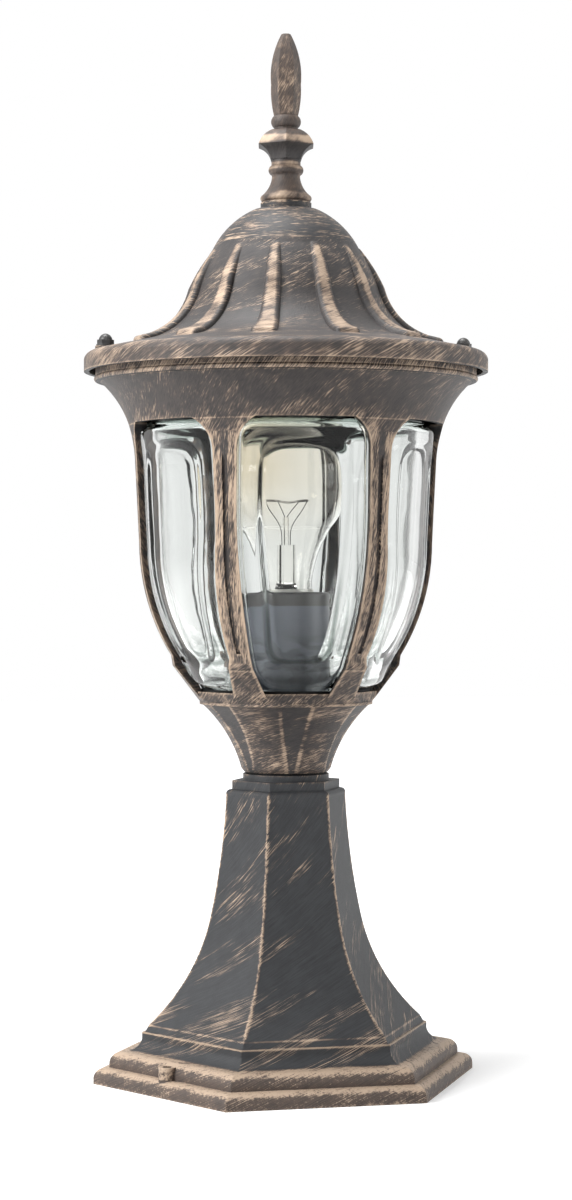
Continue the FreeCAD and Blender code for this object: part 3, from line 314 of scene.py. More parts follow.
def makeCopperPaint():  # black paint with the copper that the brush left on it, painted shade on bare sides in the head, and a mask of that copper
    b = brushing
    group, given, result = newGroup("copperPaint", {
        "Cover": 0.3, "Ragged": 2.0, "Gather": 0.2, "Strokes": 0.5, "Glaze": 0.2, "Bare": 0.0,
        "Streak": 0.5, "Bristle": 0.5, "Cluster": 0.5, "Mottle": 0.5, "Edge": 0.0, "Hollow": 0.0,
        "Sparse": 0.45, "Edge Gain": 0.3, "Hollow Loss": 0.3, "Patchy": 0.8,
    }, ["Mask"], ["Tone"])
    gathered = ramp(group, given["Cluster"], *b["gathered"])
    gathered = total(group, times(group, gathered, b["gatherGain"]), -1.0)
    gathered = total(group, times(group, gathered, given["Gather"]), 1.0)
    hairs = total(group, given["Bristle"], times(group, given["Streak"], b["streakShare"]), b["hairLevel"])
    hairs = times(group, hairs, given["Ragged"], gathered)
    cluster = ramp(group, given["Cluster"], given["Sparse"], total(group, given["Sparse"], b["sparseSpan"]))
    thin = times(group, ramp(group, given["Streak"], *b["thin"]), cluster, given["Strokes"])
    patchy = total(group, given["Mottle"], times(group, given["Cluster"], b["clusterShare"]), b["patchLevel"])
    cover = total(group, given["Cover"], times(group, given["Edge"], given["Edge Gain"]), hairs,
                  times(group, patchy, given["Patchy"]))
    cover = less(group, cover, times(group, given["Hollow"], given["Hollow Loss"]))
    reached = notIn(group, given["Bare"])
    mask = times(group, largest(group, thin, ramp(group, cover, *b["cover"])), reached)
    worn = total(group, times(group, given["Bristle"], b["wornBristle"]),
                 times(group, given["Mottle"], b["wornMottle"]))
    worn = ramp(group, worn, *b["worn"])
    glaze = times(group, given["Glaze"], reached, total(group, b["glazeLeast"], worn))
    tone = mixColours(group, worn, paint["black"], paint["grey"])
    tone = mixColours(group, glaze, tone, paint["brown"])
    tone = mixColours(group, ramp(group, mask, *b["brown"]), tone, paint["brown"])
    tone = mixColours(group, ramp(group, mask, *b["copper"]), tone, paint["copper"])
    # painted shade: bare insides and undersides in the head turn near black
    head = ramp(group, parted(group, objectPlace(group))["Z"], *b["head"])
    paintedShade = times(group, ramp(group, given["Bare"], *b["paintedShade"]), head)
    group.links.new(mask, result["Mask"])
    group.links.new(mixColours(group, paintedShade, tone, paint["hollow"]), result["Tone"])
    return group


bareAndShadedSides = makeBareSides()
copperPaint = makeCopperPaint()


def brushedCasting(name, recipe):
    material, tree, shader = newMaterial(name)
    spread = recipe["places"](tree)  # cover, and the way the brush went
    strokes = recipe["strokes"] | spread.get("broad", {})
    lines = placeGroup(tree, brushStrokes, Around=spread["around"], Level=spread["level"],
                       Lean=spread["lean"], Girth=spread["girth"], Turn=spread["turn"], **strokes)
    rub = placeGroup(tree, edgeRub, **recipe["rub"])
    skin = placeGroup(tree, grain, Scale=paint["skinScale"])
    bareAndShaded = placeGroup(tree, bareAndShadedSides, Share=recipe["inside"])
    copper = placeGroup(tree, copperPaint, Cover=spread["cover"], Gather=spread["gather"],
                        Strokes=spread["strokes"], Glaze=spread["glaze"], Bare=bareAndShaded["Bare"],
                        Ragged=times(tree, spread["ragged"], recipe["ragged"]),
                        Streak=lines["Streak"], Bristle=lines["Bristle"], Cluster=lines["Cluster"],
                        Mottle=skin["Mottle"], Edge=rub["Edge"], Hollow=rub["Hollow"], **recipe["copper"])
    mask = copper["Mask"]
    tree.links.new(copper["Tone"], shader.inputs["Base Color"])
    rough = mixValues(tree, mask, paint["roughPaint"], paint["roughCopper"])
    tree.links.new(rough, shader.inputs["Roughness"])
    tree.links.new(times(tree, mask, paint["copperMetal"]), shader.inputs["Metallic"])
    shader.inputs["Specular IOR Level"].default_value = recipe["gloss"]
    relief = total(tree, times(tree, skin["Skin"], paint["skinRelief"]),
                   times(tree, mask, paint["copperRelief"]))
    soft = addNode(tree, "Bevel", {"Radius": recipe["round"]}, samples=bevelSamples)
    bump = addNode(tree, "Bump", {"Strength": paint["bump"], "Distance": paint["bumpDepth"], "Height": relief,
                                  "Normal": soft.outputs[0]})
    tree.links.new(bump.outputs[0], shader.inputs["Normal"])
    return material


def slant(tree, level, turn):  # how far a straight stroke has gone sideways at a level
    return calc(tree, "DIVIDE", level, calc(tree, "TANGENT", turn))


baseMarks = {  # places in metres, as low, high and softness, and how much copper each takes
    "speckScale": 780.0, "speckDetail": 2.0, "speckRough": 0.6,
    "arris": (0.0001, 0.0019), "arrisCover": 0.62,
    "broken": (0.38, 0.56), "arrisLeast": 0.55, "arrisGain": 0.5,
    "bell": (0.0275, 0.1365, 0.001), "bellFoot": (0.028, 0.046), "bellFootCover": 0.16,
    "footTop": (0.0148, 0.0156), "mottle": 1.6,
    "rollCover": 0.15, "rollTopCopperAndHighlight": (0.35, 0.85), "rollTopCover": 0.74,
    "upperLine": (0.0263, 0.0272, 0.0003), "lowerLine": (0.0231, 0.0240, 0.0003), "lineCover": 0.4,
    "moulding": (0.0205, 0.0272, 0.0006), "mouldingCover": 0.08,
    "lugRadius": 0.075, "lugHalf": (0.0045, 0.005), "lugAngle": (0.056, 0.06), "lugFoot": (0.0077, 0.0082),
    "lugSide": (0.9, 0.95), "lugCover": 0.4, "lugRagged": 0.1,
    "footRagged": 0.8, "footGlaze": 0.62, "strokes": 0.65, "footGather": 0.15,
    "depthShare": -0.55, "bend": -4.6, "lean": 1.75, "turn": 0.75, "faceShift": 0.31,
}


def basePlaces(tree):
    m = baseMarks
    angle, radius, height = roundTheAxis(tree)
    off = fold(tree, angle, sixth)
    aside = times(tree, radius, calc(tree, "SINE", off))
    depth = times(tree, radius, calc(tree, "COSINE", off))
    toCorner = less(tree, times(tree, depth, math.tan(sixth / 2)), unsigned(tree, aside))
    specks = noiseAt(tree, objectPlace(tree), m["speckScale"], m["speckDetail"], m["speckRough"])
    broken = total(tree, m["arrisLeast"], times(tree, ramp(tree, specks, *m["broken"]), m["arrisGain"]))
    bell = band(tree, height, *m["bell"])
    arris = times(tree, notIn(tree, ramp(tree, toCorner, *m["arris"])), broken, bell, m["arrisCover"])
    low = notIn(tree, ramp(tree, height, *m["footTop"]))  # foot and step
    # copper on the rolls' up-facing tops, partly a painted highlight
    rollTopCopperAndHighlight = times(tree, ramp(tree, facingUp(tree), *m["rollTopCopperAndHighlight"]), m["rollTopCover"])
    mottled = times(tree, less(tree, specks, 0.5), m["mottle"])
    rolls = times(tree, low, total(tree, m["rollCover"], rollTopCopperAndHighlight, mottled))
    lines = total(tree, band(tree, height, *m["upperLine"]), band(tree, height, *m["lowerLine"]))
    moulding = times(tree, band(tree, height, *m["moulding"]), m["mouldingCover"])
    bellFoot = times(tree, bell, notIn(tree, ramp(tree, height, *m["bellFoot"])), m["bellFootCover"])
    lugSide = unsigned(tree, calc(tree, "COSINE", total(tree, angle, sixth)))  # one lug, and one opposite
    fromLug = unsigned(tree, less(tree, radius, m["lugRadius"]))
    lug = times(tree, notIn(tree, ramp(tree, fromLug, *m["lugHalf"])),
                notIn(tree, ramp(tree, unsigned(tree, off), *m["lugAngle"])),
                ramp(tree, height, *m["lugFoot"]), ramp(tree, lugSide, *m["lugSide"]))
    level = total(tree, height, times(tree, depth, m["depthShare"]))
    bend = times(tree, level, times(tree, level, m["bend"]))  # strokes steeper towards the top
    return {
        "cover": total(tree, arris, rolls, times(tree, lines, m["lineCover"]), moulding, bellFoot,
                       times(tree, lug, m["lugCover"])),
        "ragged": mixValues(tree, lug, mixValues(tree, low, 1.0, m["footRagged"]), m["lugRagged"]),
        "glaze": times(tree, low, m["footGlaze"]),
        "strokes": mixValues(tree, low, m["strokes"], 0.0),
        "gather": mixValues(tree, low, 1.0, m["footGather"]),
        "around": total(tree, aside, times(tree, nearest(tree, angle, sixth), m["faceShift"])),
        "girth": 1.0, "level": level, "turn": m["turn"],
        "lean": total(tree, times(tree, level, m["lean"]), bend),
    }


cageMarks = {
    "facetFoot": (0.1483, 0.0024), "facetHead": (0.1789, 0.0078),  # height and half width of a cup facet
    "cupTop": (0.1786, 0.1792), "cupCover": 0.3, "facetEdge": (0.0003, 0.0017), "facetEdgeCover": 0.22,
    "facetFloor": (-0.0016, -0.0004), "facetFloorCover": -0.2,
    "shoes": (0.1795, 0.2, 0.001), "shoeCover": 0.3,
    "ribs": (0.2, 0.306, 0.002), "ribCover": 0.19, "ribBeside": (0.0012, 0.0026), "ribBesideCover": 0.32,
    "cove": (0.306, 0.3325, 0.001), "coveCover": 0.09, "coveFoot": (0.312, 0.322), "coveFootCover": 0.24,
    "crown": (0.332, 0.333), "crownCover": 0.4, "lip": (0.1789, 0.1799, 0.0003), "lipCover": 0.2,
    "headCrease": (0.3117, 0.3123, 0.0004), "shoeCrease": (0.1955, 0.1963, 0.0004), "creaseCover": 0.3,
    "cupGirth": 0.032, "girthChange": (0.1799, 0.1801, 0.075), "radiusShare": 0.5,
    "cupTurn": 0.3, "turnChanges": ((0.1789, 0.179, 0.5), (0.1995, 0.1996, 1.4), (0.306, 0.3061, 1.02)),
    "coveRagged": -0.15, "cupRagged": -0.35, "glaze": 0.22, "floorGlaze": -0.08,
    "strokes": 0.55, "gather": 0.2,
}


def cagePlaces(tree):
    m = cageMarks
    angle, radius, height = roundTheAxis(tree)
    angle = less(tree, angle, headTurn)
    aside = asideFrom(tree, radius, fold(tree, angle, sixth))
    gap = less(tree, aside, straight(tree, height, m["facetFoot"], m["facetHead"]))
    cup = notIn(tree, ramp(tree, height, *m["cupTop"]))
    facetEdge = notIn(tree, ramp(tree, unsigned(tree, gap), *m["facetEdge"]))
    facetFloor = notIn(tree, ramp(tree, gap, *m["facetFloor"]))
    cupCover = times(tree, cup, total(tree, m["cupCover"], times(tree, facetEdge, m["facetEdgeCover"]),
                                      times(tree, facetFloor, m["facetFloorCover"])))
    shoes = times(tree, band(tree, height, *m["shoes"]), m["shoeCover"])
    ribAside = asideFrom(tree, radius, fold(tree, less(tree, angle, sixth / 2), sixth))
    beside = times(tree, ramp(tree, ribAside, *m["ribBeside"]), m["ribBesideCover"])
    ribs = times(tree, band(tree, height, *m["ribs"]), total(tree, m["ribCover"], beside))
    coveZone = band(tree, height, *m["cove"])
    coveFoot = times(tree, notIn(tree, ramp(tree, height, *m["coveFoot"])), m["coveFootCover"])
    cove = times(tree, coveZone, total(tree, m["coveCover"], coveFoot))
    crown = times(tree, ramp(tree, height, *m["crown"]), m["crownCover"])
    lip = times(tree, band(tree, height, *m["lip"]), m["lipCover"])
    creases = total(tree, band(tree, height, *m["headCrease"]), band(tree, height, *m["shoeCrease"]))
    girth = stepped(tree, height, m["cupGirth"], m["girthChange"])
    turn = stepped(tree, height, m["cupTurn"], *m["turnChanges"])
    level = total(tree, height, times(tree, radius, m["radiusShare"]))
    return {
        "cover": total(tree, cupCover, shoes, ribs, cove, crown, lip, times(tree, creases, m["creaseCover"])),
        "ragged": total(tree, 1.0, times(tree, coveZone, m["coveRagged"]), times(tree, cup, m["cupRagged"])),
        "glaze": total(tree, m["glaze"], times(tree, cup, facetFloor, m["floorGlaze"])),
        "strokes": m["strokes"], "gather": m["gather"],
        "around": times(tree, angle, girth), "girth": girth, "level": level,
        "lean": slant(tree, level, turn), "turn": turn,
    }


roofMarks = {
    "flutes": 12, "fluteHalf": math.radians(4.75), "fluteEdge": (-0.0028, 0.0), "fluteCover": 0.49,
    "tall": (0.3495, 0.3955, 0.0015), "gapCover": 0.11, "rim": (0.0885, 0.0915), "rimCover": 0.36,
    "crown": (0.3965, 0.399), "crownCover": 0.24,
    "turn": 0.4, "crownTurn": (0.398, 0.3981, 0.08), "rimTurn": (0.088, 0.0881, 0.75),
    "width": 0.0006, "crownWidth": (0.398, 0.3981, 0.0013),
    "fluteRagged": -0.45, "rimRagged": -0.25, "glaze": 0.16, "crownGlaze": -0.12, "rimGlaze": 0.14,
    "strokes": 0.7, "gather": 0.4, "girth": 0.06, "radiusShare": -0.6,
}


def roofPlaces(tree):
    m = roofMarks
    angle, radius, height = roundTheAxis(tree)
    angle = less(tree, angle, headTurn)
    step = math.radians(360) / m["flutes"]
    aside = times(tree, radius, unsigned(tree, fold(tree, less(tree, angle, step / 2), step)))
    pastEdge = less(tree, aside, times(tree, radius, m["fluteHalf"]))
    tall = band(tree, height, *m["tall"])
    flute = times(tree, notIn(tree, ramp(tree, pastEdge, *m["fluteEdge"])), tall)
    rim = ramp(tree, radius, *m["rim"])
    crown = ramp(tree, height, *m["crown"])
    turn = stepped(tree, radius, stepped(tree, height, m["turn"], m["crownTurn"]), m["rimTurn"])
    level = total(tree, height, times(tree, radius, m["radiusShare"]))
    return {
        "cover": total(tree, times(tree, flute, m["fluteCover"]), times(tree, tall, m["gapCover"]),
                       times(tree, rim, m["rimCover"]), times(tree, crown, m["crownCover"])),
        "ragged": total(tree, 1.0, times(tree, flute, m["fluteRagged"]), times(tree, rim, m["rimRagged"])),
        "glaze": total(tree, m["glaze"], times(tree, crown, m["crownGlaze"]),
                       times(tree, rim, m["rimGlaze"])),
        "strokes": mixValues(tree, crown, m["strokes"], 1.0), "gather": m["gather"],
        "broad": {"Width": stepped(tree, height, m["width"], m["crownWidth"])},
        "around": times(tree, angle, m["girth"]), "girth": m["girth"], "level": level,
        "lean": slant(tree, level, turn), "turn": turn,
    }


finialMarks = {
    "cover": 0.3, "under": (0.4385, 0.4462, 0.0008), "underCover": -0.4,
    "bulge": (0.4466, 0.4505, 0.0012), "bulgeCover": 0.48,
    "flange": (0.4195, 0.4235, 0.0008), "flangeCover": 0.22,
    "bead": (0.4345, 0.4385, 0.0006), "beadCover": 0.26,
    "ring": (0.4545, 0.4606, 0.0005), "twists": 9.0, "twistPitch": 900.0,  # twisted bead under the spear
    "nick": (0.35, 0.9), "nickCover": -0.6,
    "spear": (0.4606, 0.4616), "ragged": 0.12, "spearRagged": 0.45, "glaze": 0.5, "underGlaze": -0.35,
    "strokes": 0.2, "gather": 0.0, "girth": 0.009, "turn": 1.0,
}


def finialPlaces(tree):
    m = finialMarks
    angle, _, height = roundTheAxis(tree)
    under = band(tree, height, *m["under"])
    zones = [times(tree, band(tree, height, *m[zone]), m[zone + "Cover"])
             for zone in ("bulge", "flange", "bead")]
    wound = total(tree, times(tree, angle, m["twists"]), times(tree, height, m["twistPitch"]))
    twist = calc(tree, "SINE", wound)
    nicks = times(tree, band(tree, height, *m["ring"]), ramp(tree, twist, *m["nick"]), m["nickCover"])
    return {
        "cover": total(tree, m["cover"], times(tree, under, m["underCover"]), *zones, nicks),
        "ragged": mixValues(tree, ramp(tree, height, *m["spear"]), m["ragged"], m["spearRagged"]),
        "glaze": total(tree, m["glaze"], times(tree, under, m["underGlaze"])),
        "strokes": m["strokes"], "gather": m["gather"],
        "around": times(tree, angle, m["girth"]), "girth": m["girth"], "level": height,
        "lean": slant(tree, height, m["turn"]), "turn": m["turn"],
    }


castings = {
    "base_pedestal": {
        "places": basePlaces, "round": 0.0008, "inside": 1.0, "gloss": 0.36, "ragged": 2.0,
        "rub": {"Reach": 0.0018, "Depth": 0.007},
        "strokes": {"Width": 0.00075, "Length": 0.022, "Seed": 3.0},
        "copper": {"Sparse": 0.48, "Edge Gain": 0.42, "Hollow Loss": 0.3, "Patchy": 0.7},
    },
    "lantern_cage": {
        "places": cagePlaces, "round": 0.0007, "inside": 0.5, "gloss": 0.28, "ragged": 2.0,
        "rub": {"Reach": 0.0016, "Depth": 0.005},
        "strokes": {"Width": 0.0006, "Length": 0.008, "Seed": 11.0},
        "copper": {"Sparse": 0.44, "Edge Gain": 0.36, "Hollow Loss": 0.25, "Patchy": 0.8},
    },
    "roof": {
        "places": roofPlaces, "round": 0.0008, "inside": 1.0, "gloss": 0.37, "ragged": 2.0,
        "rub": {"Reach": 0.0014, "Depth": 0.004},
        "strokes": {"Width": 0.0006, "Length": 0.011, "Seed": 23.0},
        "copper": {"Sparse": 0.45, "Edge Gain": 0.3, "Hollow Loss": 0.4, "Patchy": 0.8},
    },
    "finial": {
        "places": finialPlaces, "round": 0.0006, "inside": 0.0, "gloss": 0.36, "ragged": 2.0,
        "rub": {"Reach": 0.0012, "Depth": 0.004},
        "strokes": {"Width": 0.0008, "Length": 0.006, "Seed": 31.0},
        "copper": {"Sparse": 0.46, "Edge Gain": 0.2, "Hollow Loss": 0.45, "Patchy": 1.0},
    },
}

for name, recipe in castings.items():
    dress(brushedCasting("brushed_" + name, recipe), name)
print("castings painted")

# plain metals, mouldings and rubber

finishes = {
    "zincPlate": {"colour": (0.56, 0.56, 0.54), "tint": (0.44, 0.43, 0.4), "metal": 1.0,
                  "rough": (0.28, 0.45), "grain": {"Scale": 1200.0, "Stretch": 3.0}, "bump": 0.08},
    "blackNut": {"colour": (0.018, 0.018, 0.019), "tint": (0.045, 0.042, 0.04), "metal": 0.0,
                 "rough": (0.32, 0.5), "grain": {"Scale": 1600.0}, "bump": 0.15},
    "brass": {"colour": (0.7, 0.48, 0.2), "tint": (0.5, 0.33, 0.14), "metal": 1.0,
              "rough": (0.25, 0.45), "grain": {"Scale": 1300.0, "Stretch": 2.0}, "bump": 0.08},
    "lampCap": {"colour": (0.72, 0.71, 0.68), "tint": (0.55, 0.54, 0.5), "metal": 1.0,
                "rough": (0.3, 0.5), "grain": {"Scale": 1500.0, "Stretch": 4.0}, "bump": 0.1},
    "filamentWire": {"colour": (0.16, 0.155, 0.15), "tint": (0.09, 0.088, 0.085), "metal": 1.0,
                     "rough": (0.35, 0.5), "grain": {"Scale": 3000.0}, "bump": 0.1},
    # holderShell colours: lighter and bluer than its black plastic, a painted reflection
    "holderShell": {"colour": (0.152, 0.164, 0.204), "tint": (0.165, 0.177, 0.218), "metal": 0.0,
                    "rough": (0.3, 0.36), "grain": {"Scale": 500.0}, "bump": 0.02, "gloss": 0.9,
                    "rim": (0.048, 0.046, 0.045), "rimFrom": (0.2262, 0.227)},  # darker ring at its top
    "porcelain": {"colour": (0.8, 0.78, 0.72), "tint": (0.7, 0.68, 0.62), "metal": 0.0,
                  "rough": (0.12, 0.25), "grain": {"Scale": 900.0}, "bump": 0.06},
    "capGlass": {"colour": (0.02, 0.02, 0.025), "tint": (0.04, 0.04, 0.05), "metal": 0.0,
                 "rough": (0.12, 0.2), "grain": {"Scale": 900.0}, "bump": 0.05},
    "sealRubber": {"colour": (0.006, 0.006, 0.006), "tint": (0.013, 0.013, 0.013), "metal": 0.0,
                   "rough": (0.7, 0.85), "grain": {"Scale": 2000.0}, "bump": 0.2, "gloss": 0.15},
    "blockPlastic": {"colour": (0.78, 0.76, 0.7), "tint": (0.7, 0.68, 0.62), "metal": 0.0,
                     "rough": (0.42, 0.55), "grain": {"Scale": 1200.0}, "bump": 0.12},
    "brownSleeve": {"colour": (0.11, 0.045, 0.02), "tint": (0.15, 0.065, 0.03), "metal": 0.0,
                    "rough": (0.4, 0.55), "grain": {"Scale": 1500.0, "Stretch": 0.3}, "bump": 0.1},
    "blueSleeve": {"colour": (0.02, 0.09, 0.32), "tint": (0.03, 0.12, 0.4), "metal": 0.0,
                   "rough": (0.4, 0.55), "grain": {"Scale": 1500.0, "Stretch": 0.3}, "bump": 0.1},
}
plainSkin = {"mottle": (0.3, 0.7), "gloss": 0.5, "round": 0.0003, "bumpDepth": 0.0004}


def plainFinish(name, look):
    material, tree, shader = newMaterial(name)
    skin = placeGroup(tree, grain, **look["grain"])
    tone = mixColours(tree, ramp(tree, skin["Mottle"], *plainSkin["mottle"]), look["colour"], look["tint"])
    if "rim" in look:
        height = parted(tree, objectPlace(tree))["Z"]
        tone = mixColours(tree, ramp(tree, height, *look["rimFrom"]), tone, look["rim"])
    tree.links.new(tone, shader.inputs["Base Color"])
    tree.links.new(mixValues(tree, skin["Skin"], *look["rough"]), shader.inputs["Roughness"])
    shader.inputs["Metallic"].default_value = look["metal"]
    shader.inputs["Specular IOR Level"].default_value = look.get("gloss", plainSkin["gloss"])
    soft = addNode(tree, "Bevel", {"Radius": plainSkin["round"]}, samples=bevelSamples)
    relief = addNode(tree, "Bump", {"Strength": look["bump"], "Distance": plainSkin["bumpDepth"],
                                    "Height": skin["Skin"], "Normal": soft.outputs[0]})
    tree.links.new(relief.outputs[0], shader.inputs["Normal"])
    return material


plain = {}
for name, look in finishes.items():
    plain[name] = plainFinish(name, look)

earthSleeve = {"green": (0.06, 0.22, 0.04), "yellow": (0.62, 0.5, 0.04), "stripes": 3200.0, "share": 0.15,
               "rough": (0.4, 0.55), "grain": {"Scale": 1500.0, "Stretch": 0.3}}


def stripedSleeve():  # green and yellow earth lead
    s = earthSleeve
    material, tree, shader = newMaterial("earthSleeve")
    wave = calc(tree, "SINE", times(tree, parted(tree, objectPlace(tree))["X"], s["stripes"]))
    side = calc(tree, "GREATER_THAN", wave, s["share"])
    skin = placeGroup(tree, grain, **s["grain"])
    tree.links.new(mixColours(tree, side, s["green"], s["yellow"]), shader.inputs["Base Color"])
    tree.links.new(mixValues(tree, skin["Skin"], *s["rough"]), shader.inputs["Roughness"])
    return material


wearers = {
    "zincPlate": ["roof_studs", "finial_stud", "finial_washer", "finial_nut", "threaded_tube",
                  "tube_nuts", "tube_washers", "terminal_fixing_screws"],
    "blackNut": ["cap_nuts", "roof_washers"],
    "brass": ["holder_screw_shell", "holder_contact", "lamp_contact", "terminal_screws", "earth_tag"],
    "lampCap": ["lamp_cap"],
    "filamentWire": ["lamp_wires", "lamp_filament"],
    "holderShell": ["holder_cap", "holder_skirt"],
    "porcelain": ["holder_insert"],
    "capGlass": ["lamp_insulator"],
    "sealRubber": ["glass_seat", "neck_gasket", "roof_gasket"],
    "blockPlastic": ["terminal_block"],
    "brownSleeve": ["lead_live"],
    "blueSleeve": ["lead_neutral"],
}
for name, wearing in wearers.items():
    dress(plain[name], *wearing)
dress(stripedSleeve(), "lead_earth")
print("plain finishes:", len(plain))

# glass

paneTint = {
    "shoe": (0.1971, 0.0222), "belly": (0.2761, 0.0308),  # height and half width of a pane
    # head: painted shade in a band across the top of each pane
    "beside": (-0.005, -0.001), "besideTint": 0.25, "head": (0.3066, 0.309),
    "sill": (0.187, 0.198), "sillTint": 0.5,
    "creaseSill": 0.1905, "sillLean": 0.9, "creaseBlend": 0.012, "crease": (0.0081, 0.0100, 0.0006),
    "creaseTint": 0.9, "creaseFade": (0.22, 0.25, 0.15),  # painted shade: dark line round the sunk middle, fainter above
    "murkStretch": (1, 1, 2.4), "murkScale": 95.0, "murkDetail": 1.0, "murkRough": 0.4,
    "murk": (0.49, 0.56), "murkTop": (0.2, 0.22), "murkTint": 0.55,  # flat dark marks near the foot
}


def paneEdgesAndShade(tree):  # darker glass: more glass looked through at the pane sides and sill, painted shade in a band at the top and a line round the sunk middle, and flat dark marks near the foot
    t = paneTint
    angle, radius, height = roundTheAxis(tree)
    aside = asideFrom(tree, radius, fold(tree, less(tree, angle, headTurn), sixth))
    half = straight(tree, height, t["shoe"], t["belly"])
    beside = times(tree, ramp(tree, less(tree, aside, half), *t["beside"]), t["besideTint"])
    head = ramp(tree, height, *t["head"])
    sill = times(tree, notIn(tree, ramp(tree, height, *t["sill"])), t["sillTint"])
    fromSill = times(tree, less(tree, height, t["creaseSill"]), t["sillLean"])
    inset = calc(tree, "SMOOTH_MIN", less(tree, half, aside), fromSill, t["creaseBlend"])
    crease = times(tree, band(tree, inset, *t["crease"]),
                   stepped(tree, height, t["creaseTint"], t["creaseFade"]))
    spot = stretched(tree, objectPlace(tree), t["murkStretch"])
    murk = ramp(tree, noiseAt(tree, spot, t["murkScale"], t["murkDetail"], t["murkRough"]), *t["murk"])
    murk = times(tree, murk, notIn(tree, ramp(tree, height, *t["murkTop"])), t["murkTint"])
    return largest(tree, beside, crease, head, sill, murk)


lampTintSpan = {"left": (-0.022, 0.016), "up": (0.252, 0.296), "least": 0.35, "leftShare": 0.65}


def lampWarmTint(tree):  # warmer tint towards the top and left of the lamp
    split = parted(tree, objectPlace(tree))
    left = notIn(tree, ramp(tree, split["X"], *lampTintSpan["left"]))
    thick = total(tree, lampTintSpan["least"], times(tree, left, lampTintSpan["leftShare"]))
    return times(tree, ramp(tree, split["Z"], *lampTintSpan["up"]), thick)


glassLooks = {  # mirror: strength of what it reflects head-on
    # the shade glass's deep colour is its painted shade, with the tint of thicker glass
    "shadeGlass": {"clear": (0.885, 0.9, 0.89), "deep": (0.2, 0.235, 0.217), "where": paneEdgesAndShade, "ior": 1.5,
                   "mirror": 0.26, "wave": 0.05, "scale": 60.0},
    "lampGlass": {"clear": (0.985, 0.98, 0.965), "deep": (0.95, 0.89, 0.78), "where": lampWarmTint, "ior": 1.45,
                  "mirror": 0.25, "wave": 0.02, "scale": 45.0},
}
glassRipple = {"detail": 1.0, "rough": 0.4, "depth": 0.003}


def clearGlass(name):
    look = glassLooks[name]
    material, tree, shader = newMaterial(name)
    tone = mixColours(tree, look["where"](tree), look["clear"], look["deep"])
    tree.links.new(tone, shader.inputs["Base Color"])
    shader.inputs["Roughness"].default_value = 0.0
    shader.inputs["IOR"].default_value = look["ior"]
    shader.inputs["Specular Tint"].default_value = (look["mirror"], look["mirror"], look["mirror"], 1)
    shader.inputs["Transmission Weight"].default_value = 1.0
    ripple = noiseAt(tree, objectPlace(tree), look["scale"], glassRipple["detail"], glassRipple["rough"])
    bump = addNode(tree, "Bump", {"Strength": look["wave"], "Distance": glassRipple["depth"],
                                  "Height": ripple})
    tree.links.new(bump.outputs[0], shader.inputs["Normal"])
    return material


shadeGlass = clearGlass("shadeGlass")
dress(clearGlass("lampGlass"), "lamp_envelope", "lamp_stem")

# inside the lamp: fine lead wires, supports and a coiled filament, in mm

lampInside = {
    "stemTop": 21.0, "rodTop": 8.0,  # below the filament
    "endRoom": 0.6, "frontRoom": 0.5,  # inside the box of the solid filament
    "leadGap": 2.0, "leadSpread": 0.6, "leadKnee": 0.62, "leadBend": 0.24, "leadReach": 0.72,
    "propFoot": 0.5, "propKnee": 0.26, "propDrop": 4.0, "propReach": 0.5, "hookDrop": 0.4, "bowDrop": 1.1,
    "wire": 0.22, "sides": 6, "wireSteps": 8, "bowSteps": 24,
    "coil": 0.5, "coilWire": 0.1, "coilSides": 5, "pitch": 0.5, "perTurn": 10,
}


def alongCurve(points, steps):  # smooth line through a few points
    line = []
    ends = [points[0] * 2 - points[1], *points, points[-1] * 2 - points[-2]]
    for a, b, c, d in zip(ends, ends[1:], ends[2:], ends[3:]):
        for step in range(steps):
            t = step / steps
            line.append(0.5 * (2 * b + (c - a) * t + (2 * a - 5 * b + 4 * c - d) * t ** 2
                               + (3 * b - a - 3 * c + d) * t ** 3))
    return line + [points[-1]]


def wireMesh(mesh, line, radius, sides):
    rings = []
    side = Vector((0, 1, 0))
    for index, spot in enumerate(line):
        ahead = (line[min(index + 1, len(line) - 1)] - line[max(index - 1, 0)]).normalized()
        side = (side - ahead * side.dot(ahead)).normalized()
        up = ahead.cross(side)
        rings.append([mesh.verts.new(spot + (side * math.cos(turn) + up * math.sin(turn)) * radius)
                      for turn in (2 * math.pi * step / sides for step in range(sides))])
    for low, high in zip(rings, rings[1:]):
        for index in range(sides):
            after = (index + 1) % sides
            mesh.faces.new((low[index], low[after], high[after], high[index]))
    mesh.faces.new(rings[0][::-1])
    mesh.faces.new(rings[-1])


def makePiece(name, mesh, material, node):
    data = bpy.data.meshes.new(name)
    mesh.to_mesh(data)
    mesh.free()
    data.polygons.foreach_set("use_smooth", [True] * len(data.polygons))
    data.materials.append(material)
    piece = bpy.data.objects.new(name, data)
    bpy.context.scene.collection.objects.link(piece)
    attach(piece, "root")
    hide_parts(node)
    return piece


def coiled(bow, perTurn):  # the bow as a fine coil, and its number of turns
    s = lampInside
    lengths = [0.0]
    for before, after in zip(bow, bow[1:]):
        lengths.append(lengths[-1] + (after - before).length)
    turns = round(lengths[-1] / s["pitch"])
    coil = []
    place = 0
    for step in range(turns * perTurn + 1):
        reach = lengths[-1] * step / (turns * perTurn)
        while place < len(bow) - 2 and lengths[place + 1] < reach:
            place += 1
        share = (reach - lengths[place]) / (lengths[place + 1] - lengths[place])
        ahead = (bow[place + 1] - bow[place]).normalized()
        side = ahead.cross(Vector((0, 0, 1))).normalized()
        up = side.cross(ahead)
        turn = 2 * math.pi * step / perTurn
        spot = bow[place].lerp(bow[place + 1], share)
        coil.append((spot + (side * math.cos(turn) + up * math.sin(turn)) * s["coil"]) * mm)
    return coil, turns


